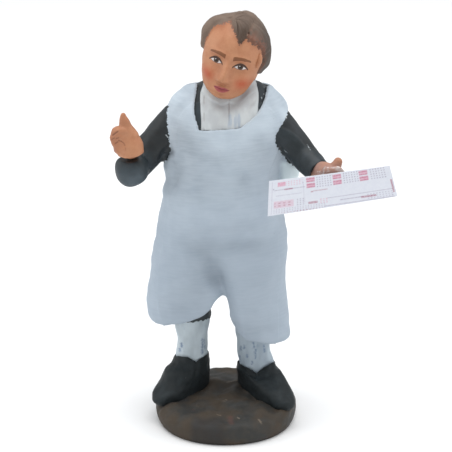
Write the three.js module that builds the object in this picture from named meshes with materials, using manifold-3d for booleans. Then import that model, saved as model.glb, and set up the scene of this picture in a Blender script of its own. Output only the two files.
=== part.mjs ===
// A small painted terracotta figurine: a stout man in a long sleeveless white smock over a black
// jacket, standing on a round base and showing a slip of paper glued to the hand at his left.
// The clay is one fired piece, base included. The paper slip is a second piece.
// Millimetres, +Z up. The figure faces -Y, and the origin is the middle of the base's underside.

import * as THREE from "three";
import { ParametricGeometry } from "three/addons/geometries/ParametricGeometry.js";
import { mergeVertices } from "three/addons/utils/BufferGeometryUtils.js";
import Module from "manifold-3d";

const wasm = await Module();
wasm.setup();

const { sin, cos, abs, exp, max, min, sign, sqrt, PI } = Math;
const vec = (x, y, z) => new THREE.Vector3(x, y, z);

// Driving dimensions
const BASE_RADIUS = 11.8;
const BASE_HEIGHT = 3.9;
const BODY_Y = 2.0; // the body stands over the back half of the base
const LEG_Y = 3.4;
const RIGHT_LEG_X = -5.7; // right and left are the figure's own
const LEFT_LEG_X = 4.7;
const LEG_RADIUS = 2.75;
const STOCKING_TOP = 17.6;
const RIGHT_SHOE = { splay: 0.58, front: 9.9, mouth: 8.8 }; // splay in radians, outwards
const LEFT_SHOE = { splay: 0.46, front: 11.2, mouth: 7.1 };
const NECKLINE_Z = 52.0;
const SMOCK_THICKNESS = 0.55;
const HEAD_CENTRE = vec(1.1, 0.7, 62.7);
const HEAD_ROLL = 0.25; // radians, the crown towards +X
const HEAD_TURN = -0.16; // the face towards -X
const HEAD_NOD = 0.08; // the chin drawn in
const CROWN = 6.2; // heights of the skull over and under the eyes
const CHIN = 6.6;
const HAIR_THICKNESS = 0.85;
const PAPER = { length: 20.1, near: 5.6, far: 5.0, thickness: 0.3 }; // near is the end by the body

// Shape helpers

// A bump of height 1 that fades over the given width.
const bump = (distance, width) => exp(-((distance / width) ** 2));

// 0 below low, 1 above high, smooth between.
function step(low, high, value) {
  const t = min(1, max(0, (value - low) / (high - low)));
  return t * t * (3 - 2 * t);
}

// The value at t, from 0 to 1, of the smooth curve through evenly spaced numbers.
function through(numbers, t) {
  const last = numbers.length - 1;
  const i = min(last - 1, Math.floor(t * last));
  const s = t * last - i;
  const [a, b, c, d] = [i - 1, i, i + 1, i + 2].map((k) => numbers[min(last, max(0, k))]);
  return b + (s * (c - a + s * (2 * a - 5 * b + 4 * c - d + s * (3 * (b - c) + d - a)))) / 2;
}

// The closed solid of a surface: u runs round it, v from its first pole to its last.
function solid(slices, stacks, at) {
  const surface = new ParametricGeometry((u, v, p) => p.copy(at(u % 1, v)), slices, stacks);
  surface.deleteAttribute("normal");
  surface.deleteAttribute("uv");
  const merged = mergeVertices(surface, 1e-4);
  const index = merged.index.array;
  const faces = [];
  for (let i = 0; i < index.length; i += 3) {
    const [a, b, c] = index.slice(i, i + 3);
    if (a !== b && b !== c && c !== a) faces.push(a, b, c);
  }
  return new wasm.Manifold(
    new wasm.Mesh({
      numProp: 3,
      vertProperties: merged.attributes.position.array,
      triVerts: new Uint32Array(faces),
    }),
  );
}

// Level oval sections from the bottom up. Each row is [z, centre x, centre y, half width, depth to
// the front, depth to the back]. ends are the heights of the closing domes, negative for a hollow,
// and adjust moves each point once it is placed.
function stack({ rows, ends = [0, 0], square = 2, slices, stacks, adjust = (p) => p }) {
  const lid = 0.12;
  return solid(slices, stacks, (u, v) => {
    const t = min(1, max(0, (v - lid) / (1 - 2 * lid)));
    const closing = min(v, 1 - v) / lid;
    const ring = closing < 1 ? sin((closing * PI) / 2) : 1;
    const dome = closing < 1 ? cos((closing * PI) / 2) * (v < 0.5 ? -ends[0] : ends[1]) : 0;
    const [z, x, y, width, front, back] = rows[0].map((_, k) => through(rows.map((r) => r[k]), t));
    const [c, s] = [cos(2 * PI * u), sin(2 * PI * u)];
    const across = sign(c) * abs(c) ** (2 / square);
    const along = sign(s) * abs(s) ** (2 / square);
    const depth = s < 0 ? front : back;
    return adjust(vec(x + across * width * ring, y + along * depth * ring, z + dome), t, u);
  });
}

// A tapering limb along a smooth path, with round ends. side is the direction that thick scales.
function limb({ path, radii, thick = 1, side = vec(0, 0, 1), slices, stacks, adjust = (p) => p }) {
  const curve = new THREE.CatmullRomCurve3(path);
  const cap = 0.14;
  return solid(slices, stacks, (u, v) => {
    const t = min(1, max(0, (v - cap) / (1 - 2 * cap)));
    const closing = min(1, min(v, 1 - v) / cap);
    const radius = through(radii, t);
    const along = curve.getTangent(t);
    const across = side.clone().addScaledVector(along, -side.dot(along)).normalize();
    const third = along.clone().cross(across);
    const dome = cos((closing * PI) / 2) * radius * (v < 0.5 ? -1 : 1);
    const ring = sin((closing * PI) / 2) * radius;
    const point = curve.getPoint(t).addScaledVector(along, dome);
    point.addScaledVector(across, ring * thick * cos(2 * PI * u));
    return adjust(point.addScaledVector(third, ring * sin(2 * PI * u)), t);
  });
}

const join = (...parts) => wasm.Manifold.union(parts.flat());

// Base and feet

// A low disc pressed by hand: its edge wanders a little and its top swells.
function base() {
  const wander = (a) => 1 + 0.012 * cos(2 * a + 0.6) + 0.008 * cos(3 * a - 1);
  return stack({
    rows: [
      [0, 0, 0, 0.955, 0.955, 0.955],
      [0.9, 0, 0, 0.995, 0.995, 0.995],
      [2.4, 0, 0, 1, 1, 1],
      [3.3, 0, 0, 0.985, 0.985, 0.985],
      [BASE_HEIGHT - 0.2, 0, 0, 0.94, 0.94, 0.94],
    ],
    ends: [0, 0.35],
    slices: 36,
    stacks: 9,
    adjust: (p, t, u) => {
      const reach = BASE_RADIUS * wander(2 * PI * u);
      return p.set(p.x * reach, p.y * reach, p.z);
    },
  });
}

// A soft high-fronted shoe, its mouth dipping to a point over the instep. outward is 1 for the
// left foot and -1 for the right.
function shoe(x, outward, { splay, front, mouth }) {
  return stack({
    rows: [
      [3.3, 0.2 * outward, 0, 2.95, front - 0.8, 3.3],
      [4.2, 0.3 * outward, 0, 3.4, front, 3.7],
      [5.2, 0.3 * outward, 0, 3.4, front - 0.4, 3.7],
      [6.2, 0.2 * outward, 0, 3.25, front - 2.6, 3.6],
      [0.4 * 6.2 + 0.6 * mouth, 0.1 * outward, 0, 3.15, 5.6, 3.5],
      [mouth, 0, 0, 3.15, 3.7, 3.4],
      [mouth + 0.8, 0, 0, 3.1, 3.2, 3.3],
    ],
    square: 2.3,
    slices: 22,
    stacks: 12,
    adjust: (p, t, u) => {
      const ahead = max(0, -sin(2 * PI * u));
      const dip = 1.2 * ahead ** 3 * step(0.7, 1, t);
      const turned = vec(p.x, p.y, p.z - dip).applyAxisAngle(vec(0, 0, 1), outward * splay);
      return turned.add(vec(x + outward * 0.2, LEG_Y, 0));
    },
  });
}

// The stockinged leg, and the dark breeches a little proud of it under the smock.
function leg(x) {
  const column = (low, high, radius, swell) =>
    stack({
      rows: [
        [low, x, LEG_Y, radius + swell, radius + swell, radius + swell],
        [(low + high) / 2, x, LEG_Y, radius, radius, radius],
        [high, x, LEG_Y, radius + swell, radius + swell, radius + swell],
      ],
      slices: 16,
      stacks: 8,
    });
  return [column(5, 21, LEG_RADIUS - 0.1, 0.3), column(STOCKING_TOP, 25, LEG_RADIUS + 0.35, 0)];
}

// Clothes

// The smock's hem sits higher over the right leg and rises towards the gap between the legs.
function hemRise(x) {
  const overRight = 3.4 + 0.26 * max(0, x + 12.5) + 1.6 * step(-4.2, -2, x);
  const overLeft = 0.37 * max(0, 10.3 - x);
  return x < -0.6 ? overRight : overLeft;
}

const SMOCK_ROWS = [
  [13.7, -0.9, BODY_Y, 11.6, 5.9, 6.0],
  [15.5, -1.2, BODY_Y, 12.1, 6.3, 6.4],
  [20.0, -1.4, BODY_Y, 11.9, 6.5, 6.5],
  [24.0, -1.35, BODY_Y, 11.6, 6.7, 6.5],
  [28.0, -1.15, BODY_Y, 11.2, 6.9, 6.4],
  [32.0, -0.95, BODY_Y, 10.8, 7.2, 6.2],
  [36.0, -0.75, BODY_Y, 10.2, 7.9, 5.9],
  [39.5, -0.7, BODY_Y, 9.4, 7.3, 5.5],
  [43.0, -0.55, BODY_Y, 9.3, 6.4, 5.2],
  [47.0, 0.0, BODY_Y, 9.7, 6.7, 5.2],
  [50.8, 0.3, BODY_Y, 9.9, 6.6, 5.2],
  [53.8, 0.35, BODY_Y, 9.8, 5.7, 4.8],
  [55.9, 0.4, BODY_Y, 8.5, 4.6, 4.2],
  [57.5, 0.9, BODY_Y, 6.2, 3.6, 3.5],
];

// The cloth sinks between the thighs at the front, and less at the back.
function smockFolds(p, t) {
  const height = p.z;
  const valley = step(34, 22, height) * bump(p.x + 0.8, 2.8);
  p.y += p.y < BODY_Y ? 1.6 * valley : -1.0 * valley;
  const shift = hemRise(p.x) * (1 - step(13.5, 26, height));
  p.z += shift;
  return p;
}

// The arch between the legs, cut from front to back.
function legArch() {
  const outline = new THREE.Shape();
  outline.moveTo(-3.3, 8);
  outline.lineTo(-3.1, 16.5);
  outline.bezierCurveTo(-2.9, 19, -2.0, 22.9, -0.6, 22.9);
  outline.bezierCurveTo(0.6, 22.9, 0.2, 19, 1.2, 16.5);
  outline.lineTo(2.0, 14.5);
  outline.lineTo(2.2, 8);
  outline.closePath();
  const cutter = new THREE.ExtrudeGeometry(outline, {
    depth: 40,
    bevelEnabled: false,
    curveSegments: 10,
  });
  cutter.rotateX(PI / 2).translate(0, 20, 0);
  return closed(cutter);
}

// A closed three.js geometry as a solid.
function closed(geometry) {
  geometry.deleteAttribute("normal");
  geometry.deleteAttribute("uv");
  const merged = mergeVertices(geometry, 1e-4);
  return new wasm.Manifold(
    new wasm.Mesh({
      numProp: 3,
      vertProperties: merged.attributes.position.array,
      triVerts: new Uint32Array(merged.index.array),
    }),
  );
}

// The U of the neckline, cut back through the front of the smock and open at the neck.
function neckline() {
  const outline = new THREE.Shape();
  outline.moveTo(-4.3, 62);
  outline.lineTo(-4.9, 56.5);
  outline.quadraticCurveTo(-5.1, NECKLINE_Z, -3.4, NECKLINE_Z);
  outline.lineTo(2.9, NECKLINE_Z + 0.2);
  outline.quadraticCurveTo(4.6, NECKLINE_Z + 0.6, 5.6, 55.5);
  outline.lineTo(6.7, 62);
  outline.closePath();
  const cutter = new THREE.ExtrudeGeometry(outline, {
    depth: 20,
    bevelEnabled: false,
    curveSegments: 6,
  });
  cutter.rotateX(PI / 2).translate(0, BODY_Y + 1, 0);
  return closed(cutter);
}

function smock() {
  const cloth = stack({
    rows: SMOCK_ROWS,
    ends: [-0.9, 0.4],
    square: 2.35,
    slices: 40,
    stacks: 23,
    adjust: smockFolds,
  });
  return cloth.subtract(legArch()).subtract(neckline());
}

// The jacket under the smock, and the shirt front standing a little proud of it.
function jacket() {
  const rows = SMOCK_ROWS.filter(([z]) => z > 42).map(([z, x, y, width, front, back]) => [
    z,
    x,
    y,
    width - SMOCK_THICKNESS,
    front - SMOCK_THICKNESS,
    back - SMOCK_THICKNESS,
  ]);
  const shirt = rows.map(([z, , y, , front, back]) => [z, 0.6, y, 3.9, front + 0.3, back - 1]);
  return [
    stack({ rows, square: 2.35, slices: 30, stacks: 12 }),
    stack({ rows: shirt, square: 3.2, slices: 20, stacks: 12 }),
  ];
}

// The stand-up collar, two soft points meeting under the chin.
function collar() {
  return stack({
    rows: [
      [54.0, 0.6, BODY_Y - 0.2, 4.7, 5.0, 4.3],
      [56.0, 0.7, BODY_Y - 0.3, 4.7, 4.6, 4.0],
      [57.6, 0.9, BODY_Y - 0.4, 4.5, 4.3, 3.8],
      [58.4, 1.0, BODY_Y - 0.4, 4.1, 3.9, 3.5],
    ],
    slices: 24,
    stacks: 8,
    adjust: (p, t, u) => {
      const notch = 0.9 * bump(p.x - 0.3, 1.0) * max(0, -sin(2 * PI * u)) * t;
      return p.set(p.x, p.y, p.z - notch);
    },
  });
}

// Arms and hands

const ARMS = {
  right: [vec(-6.6, 2.4, 53.4), vec(-11.2, 1.6, 48.6), vec(-15.0, 0.3, 44.4), vec(-15.4, -4.0, 46.2)],
  left: [vec(6.6, 2.6, 53.0), vec(10.2, 2.0, 49.0), vec(12.9, 0.2, 45.9), vec(14.7, -3.6, 44.9)],
};

// A jacket sleeve, rounded at the elbow.
function sleeve(path) {
  return limb({ path, radii: [2.7, 2.6, 2.7, 2.4], slices: 18, stacks: 14 });
}

// A finger or thumb through three points.
const finger = (path, radii) => limb({ path, radii, side: vec(0, 1, 0), slices: 7, stacks: 6 });

// The figure's right hand, held up half closed: a palm, four curled fingers one under the other
// and a raised thumb.
function rightHand() {
  const palm = limb({
    path: [vec(-15.2, -3.8, 47.0), vec(-15.0, -5.4, 49.2), vec(-15.8, -6.2, 51.6)],
    radii: [1.4, 1.75, 1.45],
    thick: 1.4,
    side: vec(1, 0, 0),
    slices: 14,
    stacks: 9,
  });
  const curled = [0, 1, 2, 3].map((row) => {
    const z = 52.3 - 1.05 * row;
    const out = [0.2, -0.25, 0.05, 0.5][row];
    const path = [vec(-16.4, -5.4, z - 0.3), vec(-17.4 + out, -6.5, z - 0.2), vec(-15.9 + out, -7.2, z + 0.3)];
    return finger(path, [0.7, 0.78, 0.66]);
  });
  const thumb = finger([vec(-14.5, -5.7, 50.4), vec(-15.1, -6.2, 53.0), vec(-16.1, -6.5, 55.2)], [1.5, 1.15, 0.45]);
  return [palm, ...curled, thumb];
}

// The left hand, open behind the paper with its short thumb up.
function leftHand() {
  const palm = limb({
    path: [vec(14.2, -3.2, 44.9), vec(16.2, -5.6, 44.8), vec(18.2, -7.3, 44.3)],
    radii: [1.35, 1.4, 1.2],
    thick: 1.35,
    slices: 14,
    stacks: 9,
  });
  const straight = [0, 1, 2, 3].map((row) => {
    const z = 45.6 - 1.05 * row;
    const reach = [20.4, 20.8, 20.5, 19.8][row];
    return finger([vec(17.4, -7.3, z), vec(19.0, -7.95, z - 0.1), vec(reach, -8.3, z - 0.3)], [0.7, 0.68, 0.5]);
  });
  const thumb = finger([vec(16.4, -5.2, 45.2), vec(17.3, -6.1, 46.5), vec(17.9, -6.5, 47.4)], [1.2, 1.05, 0.75]);
  return [palm, ...straight, thumb];
}

// Head, in its own frame: the face looks along -Y and the eyes are level with the origin

const HEAD_FRAME = new THREE.Matrix4()
  .makeRotationFromEuler(new THREE.Euler(HEAD_NOD, HEAD_ROLL, HEAD_TURN, "YXZ"))
  .setPosition(HEAD_CENTRE);

// Half width, and depths to front and back, of the skull at height z.
function skull(z) {
  const above = max(0, z) / (CROWN + 0.1);
  const below = max(0, -z) / CHIN;
  const dome = sqrt(max(0, 1 - above ** 2.7));
  const chin = sqrt(max(0, 1 - below ** 7));
  return {
    width: 5.05 * dome * chin * (1 - 0.42 * below ** 1.9),
    front: 5.0 * dome * chin * (1 - 0.1 * below ** 2),
    back: 5.8 * dome * chin * (1 - 0.62 * below ** 1.1),
  };
}

// A calm, plain face of even proportions: how far the skin stands out at a place on the front.
function relief(x, z) {
  const side = abs(x);
  const bridge = 0.5 * bump(x, 0.6) * step(-3.4, -0.6, z) * step(1.4, -0.2, z);
  const tip = 1.15 * bump(x, 0.75) * bump(z + 2.55, 0.75);
  const nostrils = 0.35 * bump(side - 0.75, 0.4) * bump(z + 2.8, 0.4);
  const sockets = -0.42 * bump(side - 1.95, 0.95) * bump(z, 0.6);
  const brows = 0.22 * bump(side - 1.9, 1.3) * bump(z - 1.25, 0.5);
  const cheeks = 0.32 * bump(side - 2.6, 1.2) * bump(z + 2.2, 1.1);
  const lips = 0.34 * bump(x, 1.1) * (bump(z + 4.05, 0.28) + bump(z + 4.7, 0.32));
  const chin = 0.45 * bump(x, 1.2) * bump(z + 5.9, 0.7);
  return bridge + tip + nostrils + sockets + brows + cheeks + lips + chin;
}

function head() {
  return solid(30, 23, (u, v) => {
    const z = (CROWN + 0.1 - CHIN - (CROWN + 0.1 + CHIN) * cos(PI * v)) / 2;
    const { width, front, back } = skull(z);
    const [c, s] = [cos(2 * PI * u), sin(2 * PI * u)];
    const p = vec(c * width, s * (s < 0 ? front : back), z);
    if (s < 0) p.y -= relief(p.x, z) * step(0, 0.35, -s) * step(0, 0.1, min(v, 1 - v));
    return p.applyMatrix4(HEAD_FRAME);
  });
}

// The hair's lower edge at an angle from the face: high on the brow, over the ears and low at the
// nape, with a lock falling over the brow on the figure's left.
function hairline(angle) {
  const nape = -3.4;
  const rightSide = [nape, nape, -3.0, -1.9, -0.2, 0.9, 2.4, 3.9, 4.7];
  const leftSide = [nape, nape, -3.1, -2.3, -0.5, 0.7, 2.1, 3.2, 4.7];
  const lock = 1.3 * bump(angle - 0.3, 0.16);
  return through(angle < 0 ? rightSide : leftSide, 1 - abs(angle) / PI) - lock;
}

// A cap of hair over the skull, its edge standing off the skin.
function hair() {
  const tucked = 0.16;
  const heart = vec(0, 0.8, 0.5);
  return solid(30, 11, (u, v) => {
    const angle = Math.atan2(sin(2 * PI * u + PI / 2), cos(2 * PI * u + PI / 2));
    const edge = hairline(angle);
    const t = max(0, (v - tucked) / (1 - tucked));
    const z = edge + (CROWN + 0.1 - edge) * sin((t * PI) / 2);
    const { width, front, back } = skull(z);
    const swell = HAIR_THICKNESS * (0.35 + 0.65 * step(0, 0.3, t));
    const [c, s] = [cos(2 * PI * u), sin(2 * PI * u)];
    const ring = cos((t * PI) / 2) ** 0.35;
    const p = vec(
      c * (width + swell * ring),
      s * ((s < 0 ? front : back) + swell * ring),
      z + HAIR_THICKNESS * sin((t * PI) / 2),
    );
    if (v < tucked) p.lerp(heart, 1 - v / tucked);
    return p.applyMatrix4(HEAD_FRAME);
  });
}

// The right ear, sideways -1, lies flat under the hair.
function ear(sideways) {
  const out = sideways < 0 ? -4.3 : 4.9;
  const path = [vec(out, 0.6, -1.9), vec(out + 0.2 * sideways, 0.7, -0.4)];
  return limb({
    path: path.map((p) => p.applyMatrix4(HEAD_FRAME)),
    radii: [0.6, 0.8],
    side: vec(0, 1, 0),
    slices: 8,
    stacks: 6,
  });
}

// The paper slip

// A strip of paper held upright in front of the hand. It is cut a little narrower towards its far
// end, leans back, rises away from the body and bows softly.
function paper() {
  const { length, near, far, thickness } = PAPER;
  const strip = new THREE.BoxGeometry(length, thickness, 1, 16, 1, 3);
  const place = strip.attributes.position;
  for (let i = 0; i < place.count; i++) {
    const [x, y, t] = [place.getX(i), place.getY(i), place.getZ(i)];
    const along = x / length + 0.5;
    const up = t * (near + (far - near) * along);
    const skew = up * (0.2 - 0.24 * along);
    place.setXYZ(i, x + skew, y - 0.3 * sin(PI * along), up);
  }
  strip.rotateX(-0.16).rotateY(-0.171).rotateZ(-0.095).translate(16.7, -8.9, 43.2);
  return closed(strip);
}

// Assembly

// All the clay as one solid, without any speck closed in between the curled fingers.
function clayFigure() {
  const whole = join(
    base(),
    shoe(RIGHT_LEG_X, -1, RIGHT_SHOE),
    shoe(LEFT_LEG_X, 1, LEFT_SHOE),
    leg(RIGHT_LEG_X),
    leg(LEFT_LEG_X),
    smock(),
    jacket(),
    collar(),
    sleeve(ARMS.right),
    sleeve(ARMS.left),
    rightHand(),
    leftHand(),
    head(),
    hair(),
    ear(-1),
    ear(1),
  );
  return whole.decompose().reduce((most, body) => (body.volume() > most.volume() ? body : most));
}

function meshOf(body, name, material) {
  const { numProp, vertProperties, triVerts } = body.getMesh();
  const geometry = new THREE.BufferGeometry();
  const positions = new Float32Array((vertProperties.length / numProp) * 3);
  for (let i = 0; i < positions.length / 3; i++)
    positions.set(vertProperties.subarray(i * numProp, i * numProp + 3), i * 3);
  geometry.setAttribute("position", new THREE.BufferAttribute(positions, 3));
  geometry.setIndex(new THREE.BufferAttribute(triVerts, 1));
  geometry.computeVertexNormals();
  const mesh = new THREE.Mesh(geometry, material);
  mesh.name = name;
  return mesh;
}

const paintedClay = new THREE.MeshStandardMaterial({ color: 0xaebccb, roughness: 0.75, metalness: 0 });
const printedPaper = new THREE.MeshStandardMaterial({ color: 0xe9e4ec, roughness: 0.85, metalness: 0 });

const figurine = new THREE.Group();
figurine.add(meshOf(clayFigure(), "clay_figure", paintedClay));
figurine.add(meshOf(paper(), "paper_slip", printedPaper));

export default figurine;
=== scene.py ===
"""The looks of a small painted terracotta figurine: a stout man in a long sleeveless white smock
over a black jacket, on a round base, showing a slip of printed paper.

The clay is worked in millimetres as closed surfaces of two parameters. Forms that were pressed
together are resampled as one skin, softened, and marked as a tool and a brush would mark them."""

import bpy
import numpy as np
from mathutils import Matrix, Vector


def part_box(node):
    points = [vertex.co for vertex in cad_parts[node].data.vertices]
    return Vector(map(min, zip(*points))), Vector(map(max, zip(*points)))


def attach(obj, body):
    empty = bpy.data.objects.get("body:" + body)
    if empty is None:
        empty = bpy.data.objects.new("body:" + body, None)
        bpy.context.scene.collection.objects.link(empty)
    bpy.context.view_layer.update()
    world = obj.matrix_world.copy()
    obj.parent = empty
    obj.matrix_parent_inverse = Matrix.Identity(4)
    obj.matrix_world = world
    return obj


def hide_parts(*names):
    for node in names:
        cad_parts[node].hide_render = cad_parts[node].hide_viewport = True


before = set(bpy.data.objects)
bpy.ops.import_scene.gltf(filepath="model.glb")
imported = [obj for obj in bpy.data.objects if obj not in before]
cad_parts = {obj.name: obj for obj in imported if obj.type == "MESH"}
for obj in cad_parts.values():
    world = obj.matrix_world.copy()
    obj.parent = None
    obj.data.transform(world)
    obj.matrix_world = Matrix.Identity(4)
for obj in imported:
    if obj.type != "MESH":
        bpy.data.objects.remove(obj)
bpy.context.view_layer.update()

MM = 0.001
TAU = 2 * np.pi

# Driving sizes, in millimetres. The height comes from the frame. Left and right are the man's own.
_, (_, _, frame_top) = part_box("clay_figure")
TOP = frame_top / MM
BASE_RADIUS = 11.8
BASE_HEIGHT = 3.9
BODY_Y = 2.0
LEG_Y = 3.4
RIGHT_LEG_X = -5.7
LEFT_LEG_X = 4.7
LEG_RADIUS = 2.75
NECKLINE_Z = 52.0
NECK_BACK_Z = 57.4
SMOCK_THICKNESS = 0.5
SMOCK_SQUARE = 2.35
CHEST_X = 0.35
CHEST_HALF = 9.9
HEAD_CENTRE = np.array([1.1, 0.7, TOP - 7.2])
HEAD_TURNS = ((0.25, "Y"), (0.08, "X"), (-0.16, "Z"))
HEAD_HALF_WIDTH = 4.85
FACE_DEPTH = 5.0
BACK_DEPTH = 5.8
CROWN_TOP = 6.3
CHIN = 6.6
HAIR_THICKNESS = 0.85
EYE_X = 2.0
EYE_HALF = 1.02
MOUTH_Z = -4.05
MOUTH_HALF = 1.35
SLIP_LENGTH = 20.1
SLIP_NEAR_END = 5.6
SLIP_FAR_END = 5.0
SLIP_THICKNESS = 0.18
SLIP_BOW = 0.3
SLIP_CENTRE = [16.6, -8.9, 43.4]
SLIP_TURNS = ((-0.095, "Z"), (-0.1815, "Y"), (-0.16, "X"))

# Fineness of the pressed clay, the share of a depth that the view from the front adds to a height,
# and what a field of strokes says well away from them.
SMOCK_VOXEL = 0.22
BODY_VOXEL = 0.21
HAND_VOXEL = 0.08
SEEN_DEPTH = 0.36
NOWHERE = -1.0


# Numbers

def bump(distance, width):
    """A bell of height 1: e to the power of minus the square of distance over width."""
    return np.exp(-((distance / width) ** 2))


def spot(x, z, across, up, wide, high):
    """An oval bell about a place: the product of a bell across it and one up it."""
    return bump(x - across, wide) * bump(z - up, high)


def step(low, high, value):
    """0 at low and 1 at high, with the cubic 3t^2 - 2t^3 between them. It falls with the value
    where low is over high."""
    t = np.clip((value - low) / (high - low), 0, 1)
    return t * t * (3 - 2 * t)


def through(rows, t):
    """A smooth curve through evenly spaced rows: at each t from 0 to 1, the Catmull-Rom cubic of
    the four rows nearest to it."""
    rows = np.asarray(rows, float)
    last = len(rows) - 1
    place = np.clip(t, 0, 1) * last
    i = np.minimum(last - 1, place.astype(int))
    s = (place - i).reshape(np.shape(place) + (1,) * (rows.ndim - 1))
    a, b, c, d = (rows[np.clip(i + k, 0, last)] for k in (-1, 0, 1, 2))
    return b + s * (c - a + s * (2 * a - 5 * b + 4 * c - d + s * (3 * (b - c) + d - a))) / 2


def between(low, high, rows, value):
    """The smooth curve through rows that are evenly spaced from low to high, at value."""
    return through(rows, (value - low) / (high - low))


def evenly(rows, count):
    """The smooth curve through rows, resampled at equal lengths."""
    fine = through(rows, np.linspace(0, 1, 20 * len(rows)))
    length = np.concatenate([[0], np.cumsum(np.linalg.norm(np.diff(fine, axis=0), axis=1))])
    at = np.linspace(0, length[-1], count)
    return np.stack([np.interp(at, length, column) for column in fine.T], axis=1)


def lumps(points, size, seed):
    """Soft random relief about 1 high: a sum of sine waves of about the given length, in seeded
    directions and phases, over the square root of their number."""
    waves = 16
    rng = np.random.default_rng(seed)
    directions = rng.normal(size=(waves, 3))
    directions /= np.linalg.norm(directions, axis=1, keepdims=True)
    lengths = size * rng.uniform(0.7, 1.5, (waves, 1))
    phases = rng.uniform(0, TAU, waves)
    return np.sin(points @ (TAU * directions / lengths).T + phases).sum(axis=-1) / np.sqrt(waves)


def stroke(points, start, end, width):
    """How far inside a straight stroke with round ends a point lies: half its width less the
    distance to the segment."""
    start, end = np.asarray(start, float), np.asarray(end, float)
    along = end - start
    t = np.clip((points - start) @ along / (along @ along), 0, 1)
    return width / 2 - np.linalg.norm(points - start - t[..., None] * along, axis=-1)


def strokes(points, lines):
    """The most of several strokes, each given by its start, its end and its width."""
    return np.max([stroke(points, *line) for line in lines], axis=0)


def seen(points):
    """Places as the front shows them: x, and the height with a share of the depth added."""
    return np.stack([points[..., 0], points[..., 2] + SEEN_DEPTH * points[..., 1]], axis=-1)


# Surfaces

def unit(vectors):
    """Vectors over their own lengths."""
    return vectors / np.maximum(1e-12, np.linalg.norm(vectors, axis=-1, keepdims=True))


def turned(first, second, third):
    """The matrix of three turns, each an angle and an axis, of which the last is done first."""
    a, b, c = (Matrix.Rotation(angle, 3, axis) for angle, axis in (first, second, third))
    return np.array(a @ b @ c)


def level_stack(rows, ends=(0, 0), square=2.0, slices=160, stacks=120, lid=0.12):
    """Level rings up a smooth curve of rows [height, centre x, centre y, half width, depth to the
    front, depth to the back]. A ring is the superellipse |cos|^(2/square), |sin|^(2/square), and
    its ends close by quarter ellipses as high as ends says, negative for a hollow."""
    angle = TAU * np.arange(slices)[None, :] / slices
    v = np.linspace(0, 1, stacks)[:, None]
    t = np.clip((v - lid) / (1 - 2 * lid), 0, 1)
    closing = np.minimum(1, np.minimum(v, 1 - v) / lid) * np.pi / 2
    dome = np.cos(closing) * np.where(v < 0.5, -ends[0], ends[1])
    z, x, y, width, front, back = np.moveaxis(through(rows, t), -1, 0)
    c, s = np.cos(angle), np.sin(angle)
    across = np.sign(c) * np.abs(c) ** (2 / square) * width * np.sin(closing)
    along = np.sign(s) * np.abs(s) ** (2 / square) * np.where(s < 0, front, back) * np.sin(closing)
    return np.stack(np.broadcast_arrays(x + across, y + along, z + dome), axis=-1)


def limb(path, radii, thick=1.0, side=(0, 0, 1), ends=(1, 1), slices=48, stacks=56, cap=0.14):
    """Ellipses carried along a smooth path, at right angles to it. Their radius runs smoothly
    through radii, times thick along the side direction, and the ends close by quarter circles as
    high as the radius times ends."""
    v = np.linspace(0, 1, stacks)
    t = np.clip((v - cap) / (1 - 2 * cap), 0, 1)
    closing = np.minimum(1, np.minimum(v, 1 - v) / cap) * np.pi / 2
    radius = through(radii, t)
    along = unit(through(path, np.minimum(1, t + 0.01)) - through(path, np.maximum(0, t - 0.01)))
    across = np.asarray(side, float) - (along @ np.asarray(side, float))[:, None] * along
    across = unit(across)
    third = np.cross(along, across)
    dome = np.cos(closing) * radius * np.where(v < 0.5, -ends[0], ends[1])
    ring = (np.sin(closing) * radius)[:, None, None]
    angle = (TAU * np.arange(slices) / slices)[None, :, None]
    centre = (through(path, t) + along * dome[:, None])[:, None, :]
    return centre + ring * (thick * np.cos(angle) * across[:, None] + np.sin(angle) * third[:, None])


def skin(points):
    """Vertices and triangles of a grid of closed rings whose first and last ring are one point."""
    rows, columns, _ = points.shape
    vertices = np.concatenate([points[0, :1], points[1:-1].reshape(-1, 3), points[-1, :1]])
    ring = 1 + np.arange((rows - 2) * columns).reshape(rows - 2, columns)
    beside = np.roll(ring, -1, axis=1)
    low = np.stack([ring[:-1], beside[:-1], beside[1:]], axis=-1).reshape(-1, 3)
    high = np.stack([ring[:-1], beside[1:], ring[1:]], axis=-1).reshape(-1, 3)
    first = np.stack([np.zeros_like(ring[0]), beside[0], ring[0]], axis=-1)
    last = np.stack([np.full_like(ring[0], len(vertices) - 1), ring[-1], beside[-1]], axis=-1)
    return vertices, np.concatenate([low, high, first, last])


def spread(values):
    """A value for each vertex of skin, from a grid of values."""
    return np.concatenate([values[0, :1], values[1:-1].ravel(), values[-1, :1]])


def together(forms):
    """Several surfaces as one list of vertices and one of faces."""
    starts = np.cumsum([0] + [len(points) for points, _ in forms[:-1]])
    faces = [corners + start for start, (_, corners) in zip(starts, forms)]
    return np.concatenate([points for points, _ in forms]), np.concatenate(faces)


def holder(name, points, faces):
    """A bare object that holds a surface as it stands."""
    mesh = bpy.data.meshes.new(name)
    mesh.from_pydata(points.tolist(), [], faces.tolist())
    made = bpy.data.objects.new(name, mesh)
    bpy.context.collection.objects.link(made)
    return made


def settled(made):
    """The vertices and faces of an object once its modifiers are through. The object goes."""
    result = made.evaluated_get(bpy.context.evaluated_depsgraph_get()).data
    points = np.empty(3 * len(result.vertices))
    corners = np.empty(len(result.loops), int)
    result.vertices.foreach_get("co", points)
    result.loops.foreach_get("vertex_index", corners)
    faces = corners.reshape(len(result.polygons), -1)
    bpy.data.objects.remove(made)
    return points.reshape(-1, 3), faces


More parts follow.
